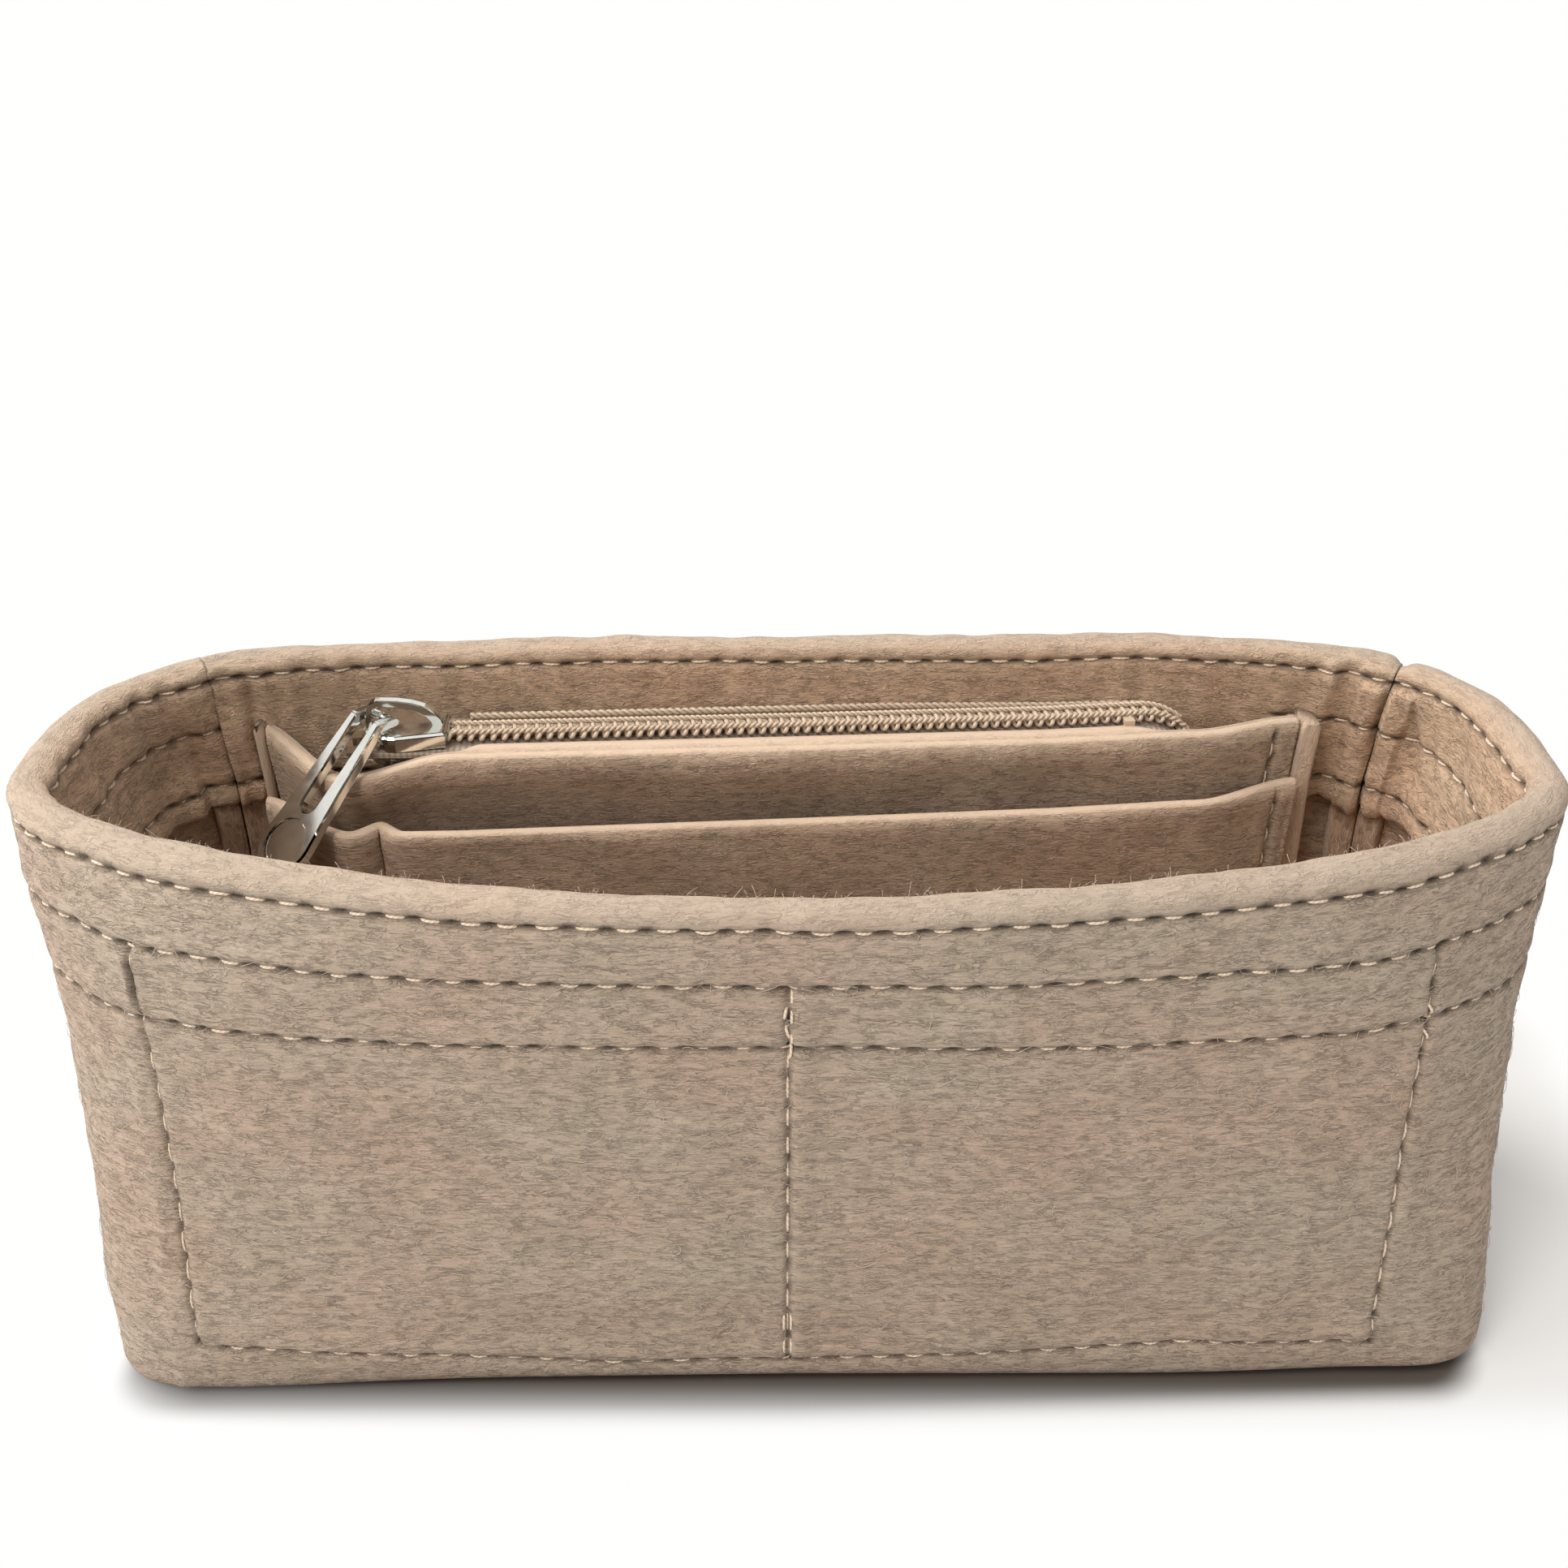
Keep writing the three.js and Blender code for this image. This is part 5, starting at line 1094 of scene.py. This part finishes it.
TAPE_THICKNESS, TAPE_TOP_Z, TAPE_SPLIT = 0.7, 71.75, 0.25
TAPE_BACK_REACH, TAPE_BACK_LEG, TAPE_FRONT_LEG, TAPE_BEAD = 7, 8.5, 1, 0.4
ZIP_LEFT_END, ZIP_RIGHT_END = -68, 66
ZIP_PARTING, ZIP_PARTING_LENGTH, ZIP_PARTING_LEAD = 2.15, 6, 0.35
ZIP_DIVE_START, ZIP_DIVE_DEPTH, ZIP_DIVE_FORWARD, ZIP_DIVE_NARROWING = 55, 7, 1.6, 1.4
ZIP_TUCK_START, ZIP_TUCK_DEPTH = -64.9, 2
TAPE_LEG_LEFT = -50
COIL_WIRE, COIL_REACH, COIL_CENTRE, COIL_RISE, COIL_GAP = 0.5, 1.55, 0.75, 0.5, 0.25
COIL_CENTRE_Z = TAPE_TOP_Z + COIL_GAP + COIL_WIRE / 2 + COIL_RISE
COIL_LEFT_END = SLIDER_X - 6.3 - ZIP_PITCH / 3
COIL_RIGHT_END = ZIP_RIGHT_END - 2 * ZIP_PITCH


def from_zip(points):
    """Turns points of the zip's own frame into the organizer's."""
    yaw = math.radians(ZIP_YAW_DEG)
    x, y, z = points[..., 0], points[..., 1], points[..., 2]
    return np.stack([x * math.cos(yaw) - y * math.sin(yaw),
                     ZIP_CENTRE_Y + x * math.sin(yaw) + y * math.cos(yaw), z], axis=-1)


def zip_parting(x):
    return ZIP_PARTING * ease((SLIDER_X - x) / ZIP_PARTING_LENGTH + ZIP_PARTING_LEAD)


def zip_dive(x):
    right = np.clip((x - ZIP_DIVE_START) / (ZIP_RIGHT_END - ZIP_DIVE_START), 0, 1) ** 2
    left = ease((ZIP_TUCK_START - x) / (ZIP_TUCK_START - ZIP_LEFT_END))
    drop = ZIP_DIVE_DEPTH * right + ZIP_TUCK_DEPTH * left
    return drop, ZIP_DIVE_FORWARD * right, ZIP_DIVE_NARROWING * right


def tape_reach(side, x):
    facing_y = back_face_y(x, HEIGHT - FACING_DROP / 2, FOLD)
    room = facing_y - zip_y(x) if side > 0 else zip_y(x) - zip_panel_top_y(x)
    _, forward, narrowing = zip_dive(x)
    widest = TAPE_BACK_REACH if side > 0 else TAPE_FRONT_REACH
    free = np.minimum(widest, room - 2 * SEAM_GAP + side * forward)
    return np.maximum(free - narrowing, TAPE_SPLIT + 2 * TAPE_THICKNESS)


def tape_stations():
    """X along the zip, and there the drop, the shift forward and the share of the sewn-down leg."""
    xs = np.linspace(ZIP_LEFT_END, ZIP_RIGHT_END, 360)
    drop, forward, _ = zip_dive(xs)
    return xs, drop, forward, ease((xs - TAPE_LEG_LEFT) / 3) * ease((ZIP_DIVE_START - xs) / 3)


def zip_tape(name, node, side):
    xs, drop, forward, fade = tape_stations()
    low = TAPE_TOP_Z - TAPE_THICKNESS
    leg = TAPE_BACK_LEG if side > 0 else TAPE_FRONT_LEG
    inner, outer = TAPE_SPLIT + zip_parting(xs), tape_reach(side, xs)
    leg_inner = outer - TAPE_THICKNESS
    leg_foot = low - TAPE_BEAD / 2 - leg * fade
    bead = TAPE_BEAD * fade
    rows = [(mix(inner, leg_inner, share), TAPE_TOP_Z + 0.06 * math.sin(12 * math.pi * share) + 0 * xs)
            for share in np.linspace(0, 1, 25)]
    rows += [(leg_inner + across, TAPE_TOP_Z + rise * bead)
             for across, rise in ((TAPE_BEAD / 4, 0.8), (TAPE_THICKNESS / 2, 1), (TAPE_THICKNESS - 0.08, 0.8),
                                  (TAPE_THICKNESS, 0))]
    rows += [(outer, mix(TAPE_TOP_Z, leg_foot, share)) for share in (0.35, 0.7, 1)]
    rows += [(leg_inner, mix(leg_foot, low, share)) for share in (0, 0.5, 1)]
    rows += [(mix(leg_inner, inner, share), low + 0 * xs) for share in (0.5, 1)]
    grid = np.stack([np.stack([xs, side * across - forward, height - drop], axis=1)
                     for across, height in rows], axis=1)
    add_grid(name, from_zip(grid), run_of(xs, grid[len(xs) // 2]), TAPE, [node])


zip_tape("woven_tape_back", "zip_tape_back", 1)
zip_tape("woven_tape_front", "zip_tape_front", -1)


def two_ply(name, side, xs, across, height, radius, turn):
    """Two-ply thread along one half of the zip; turn is the length of one turn."""
    stations, *lines, _ = tape_stations()
    drop, forward = (np.interp(xs, stations, line) for line in lines)
    strands = []
    for ply in (0, math.pi):
        angle = 2 * math.pi * xs / turn + ply
        strands.append(np.stack([xs, side * (across + radius * np.cos(angle)) - forward,
                                 height - drop + radius * np.sin(angle)], axis=1))
    paths = from_zip(np.array(strands))
    ups = np.broadcast_to(np.array([0.0, 0.0, 1.0]), paths.shape)
    add_tubes(name, paths, ups, radius * 1.05, 6, NYLON)


CORD_INSET, CORD_RISE, CORD_RADIUS, CORD_TURN, CORD_START = 0.45, 0.62, 0.3, 2.4, -50.0
cord_xs = np.arange(CORD_START, ZIP_RIGHT_END - 1.2, 0.2)
two_ply("tape_cord_back", 1, cord_xs, tape_reach(1, cord_xs) - CORD_INSET,
        TAPE_TOP_Z + CORD_RISE, CORD_RADIUS, CORD_TURN)


COIL_SQUEEZE = 1.35


def zip_coil(name, node, side):
    turns = int((COIL_RIGHT_END - COIL_LEFT_END) / ZIP_PITCH)
    turn = np.linspace(0, turns, turns * 18 + 1)
    angle = 2 * math.pi * turn
    x = COIL_LEFT_END + (0 if side > 0 else ZIP_PITCH / 2) + turn * ZIP_PITCH
    drop, forward, _ = zip_dive(x)
    head = np.sign(np.cos(angle)) * np.abs(np.cos(angle)) ** 0.8
    across = COIL_CENTRE + COIL_REACH * head + zip_parting(x)
    path = np.stack([x, side * across - forward, COIL_CENTRE_Z + COIL_RISE * np.sin(angle) - drop], axis=1)
    ups = np.broadcast_to(np.array([1.0, 0.0, 0.0]), path.shape)
    add_tubes(name, from_zip(path)[None], ups[None], COIL_WIRE / 2, 8, NYLON, [node],
              COIL_SQUEEZE)


zip_coil("nylon_coil_back", "zip_coil_back", 1)
zip_coil("nylon_coil_front", "zip_coil_front", -1)
COIL_STITCH_ACROSS, COIL_STITCH_RISE, COIL_STITCH_RADIUS = 1.5, 0.34, 0.24
stitch_xs = np.arange(SLIDER_X + 6.6, COIL_RIGHT_END - 1, 0.16)
for name, side in (("coil_stitch_back", 1), ("coil_stitch_front", -1)):
    two_ply(name, side, stitch_xs, COIL_STITCH_ACROSS,
            COIL_CENTRE_Z + COIL_RISE + COIL_STITCH_RISE, COIL_STITCH_RADIUS, ZIP_PITCH)

# Metal nodes and how far each is swollen, and how its edges are rounded
METAL_NODES = {"slider_body": 0.2, "zip_pull": 0.28, "zip_top_stop_back": 0, "zip_top_stop_front": 0,
               "zip_bottom_stop": 0}
METAL_EDGE, METAL_EDGE_ANGLE = 0.16, 34
for metal_node, swell in METAL_NODES.items():
    part = frame["nodes"][metal_node]
    part.data.materials.clear()
    part.data.materials.append(NYLON if metal_node == "zip_bottom_stop" else METAL)
    if swell:
        swollen = part.modifiers.new("swollen", "DISPLACE")
        swollen.strength, swollen.mid_level = swell * MM, 0
    bevel = part.modifiers.new("rounded", "BEVEL")
    bevel.width, bevel.segments = METAL_EDGE * MM, 3
    bevel.limit_method, bevel.angle_limit = "ANGLE", math.radians(METAL_EDGE_ANGLE)

THREADS.make("stitches")

# The soft pocket pieces and their stitches get meshes of their own
for soft_piece in (ZIP_PANEL, ZIP_PANEL_STITCHES, SLIP_PANEL, SLIP_PANEL_STITCHES):
    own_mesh(soft_piece)


# Stage

def camera():
    lens = bpy.data.cameras.new("camera")
    lens.lens, lens.sensor_width, lens.shift_y = 39.5, 36, 0.0745
    lens.clip_start, lens.clip_end = 0.01, 20
    eye = add_object("camera", lens)
    eye.location = (-0.001, -0.2136, 0.1915)
    eye.rotation_euler = (math.radians(58.03), 0, 0)
    bpy.context.scene.camera = eye


def area_light(name, place, target, size, power, colour=(1, 1, 1)):
    lamp = bpy.data.lights.new(name, "AREA")
    lamp.shape = "DISK"
    lamp.size, lamp.energy, lamp.color = size, power, colour
    holder = add_object(name, lamp)
    holder.location = place
    holder.rotation_euler = (Vector(target) - Vector(place)).to_track_quat("-Z", "Y").to_euler()


FLOOR_HALF = 6.0
SHADOW_BOX_CENTRE, SHADOW_BOX_HALF = (0.02, 0.008), (0.1035, 0.036)
SHADOW_FROM, SHADOW_TO = 0.01, 0.022
# Painted shadow: the floor's colour turns dark brown in a box round the object's front foot, with a slanted
# front, and fades out between the two distances
PAINTED_SHADOW_CENTRE, PAINTED_SHADOW_HALF = (0.001, -0.0025), (0.0905, 0.0345)
PAINTED_SHADOW_FROM, PAINTED_SHADOW_TO, PAINTED_SHADOW_SLANT = 0.0055, 0.0115, -0.045
FLOOR_COLOUR, PAINTED_SHADOW_COLOUR = (0.95, 0.945, 0.935), (0.1, 0.08, 0.065)


def distance_from_box(tree, place, centre, half):
    """Distance on the floor from a box round the object's foot."""
    outside = tree.add("CombineXYZ")
    for axis in (0, 1):
        off = tree.math("ABSOLUTE", tree.math("SUBTRACT", place[axis], centre[axis]))
        beyond = tree.math("MAXIMUM", tree.math("SUBTRACT", off, half[axis]))
        tree.links.new(beyond, outside.inputs[axis])
    length = tree.add("VectorMath", {"operation": "LENGTH"}, Vector=outside.outputs["Vector"])
    return length.outputs["Value"]


def smooth_share(tree, source, start, end):
    node = tree.add("MapRange", {"interpolation_type": "SMOOTHSTEP"}, Value=source)
    tree.put(node, From_Min=start, From_Max=end)
    return node.outputs["Result"]


def floor():
    mesh = bpy.data.meshes.new("floor")
    corners = [(x * FLOOR_HALF, y * FLOOR_HALF, 0) for x, y in ((-1, -1), (1, -1), (1, 1), (-1, 1))]
    mesh.from_pydata(corners, [], [(0, 1, 2, 3)])
    plane = add_object("floor", mesh)
    material, tree = new_material("white_floor_painted_shadow")
    parts = tree.add("SeparateXYZ", Vector=tree.add("TexCoord").outputs["Object"])
    x, y = parts.outputs["X"], parts.outputs["Y"]
    # Painted shadow: the floor's colour darkens near the object's foot
    slanted_y = tree.math("ADD", y, tree.math("MULTIPLY", tree.math("MAXIMUM", x), PAINTED_SHADOW_SLANT))
    near = distance_from_box(tree, (x, slanted_y), PAINTED_SHADOW_CENTRE, PAINTED_SHADOW_HALF)
    clear_of_painted_shadow = smooth_share(tree, near, PAINTED_SHADOW_FROM, PAINTED_SHADOW_TO)
    tree.paint(Base_Color=tree.mix(clear_of_painted_shadow, PAINTED_SHADOW_COLOUR, FLOOR_COLOUR), Roughness=0.9)
    away = distance_from_box(tree, (x, y), SHADOW_BOX_CENTRE, SHADOW_BOX_HALF)
    share = tree.math("MULTIPLY", smooth_share(tree, away, SHADOW_FROM, SHADOW_TO), tree.seen_directly())
    glow = tree.add("Emission", Color=(1, 1, 0.99, 1), Strength=1.0)
    blend = tree.add("MixShader", Fac=share)
    tree.links.new(tree.nodes["Principled BSDF"].outputs["BSDF"], blend.inputs[1])
    tree.links.new(glow.outputs["Emission"], blend.inputs[2])
    tree.put(tree.nodes["Material Output"], Surface=blend.outputs["Shader"])
    mesh.materials.append(material)


def world():
    sky = bpy.data.worlds.new("studio")
    bpy.context.scene.world = sky
    tree = Tree(sky)
    strength = tree.add("MapRange", From_Min=0.0, From_Max=1.0, To_Min=0.6, To_Max=1.0)
    tree.put(strength, Value=tree.seen_directly())
    tree.put(tree.nodes["Background"], Color=(1, 0.99, 0.975, 1), Strength=strength.outputs["Result"])


camera()
floor()
world()
WARM_WHITE = (1, 0.985, 0.96)
area_light("key", (-0.5, 0.3, 0.85), (0, 0, 0.05), 0.5, 6.2, WARM_WHITE)
area_light("fill", (-0.95, -0.32, 0.44), (0, 0, 0.04), 0.8, 3.5)
area_light("over", (-0.34, -0.44, 0.88), (0, 0.02, 0.06), 0.4, 4.2, WARM_WHITE)
bpy.context.scene.view_settings.view_transform = "Standard"
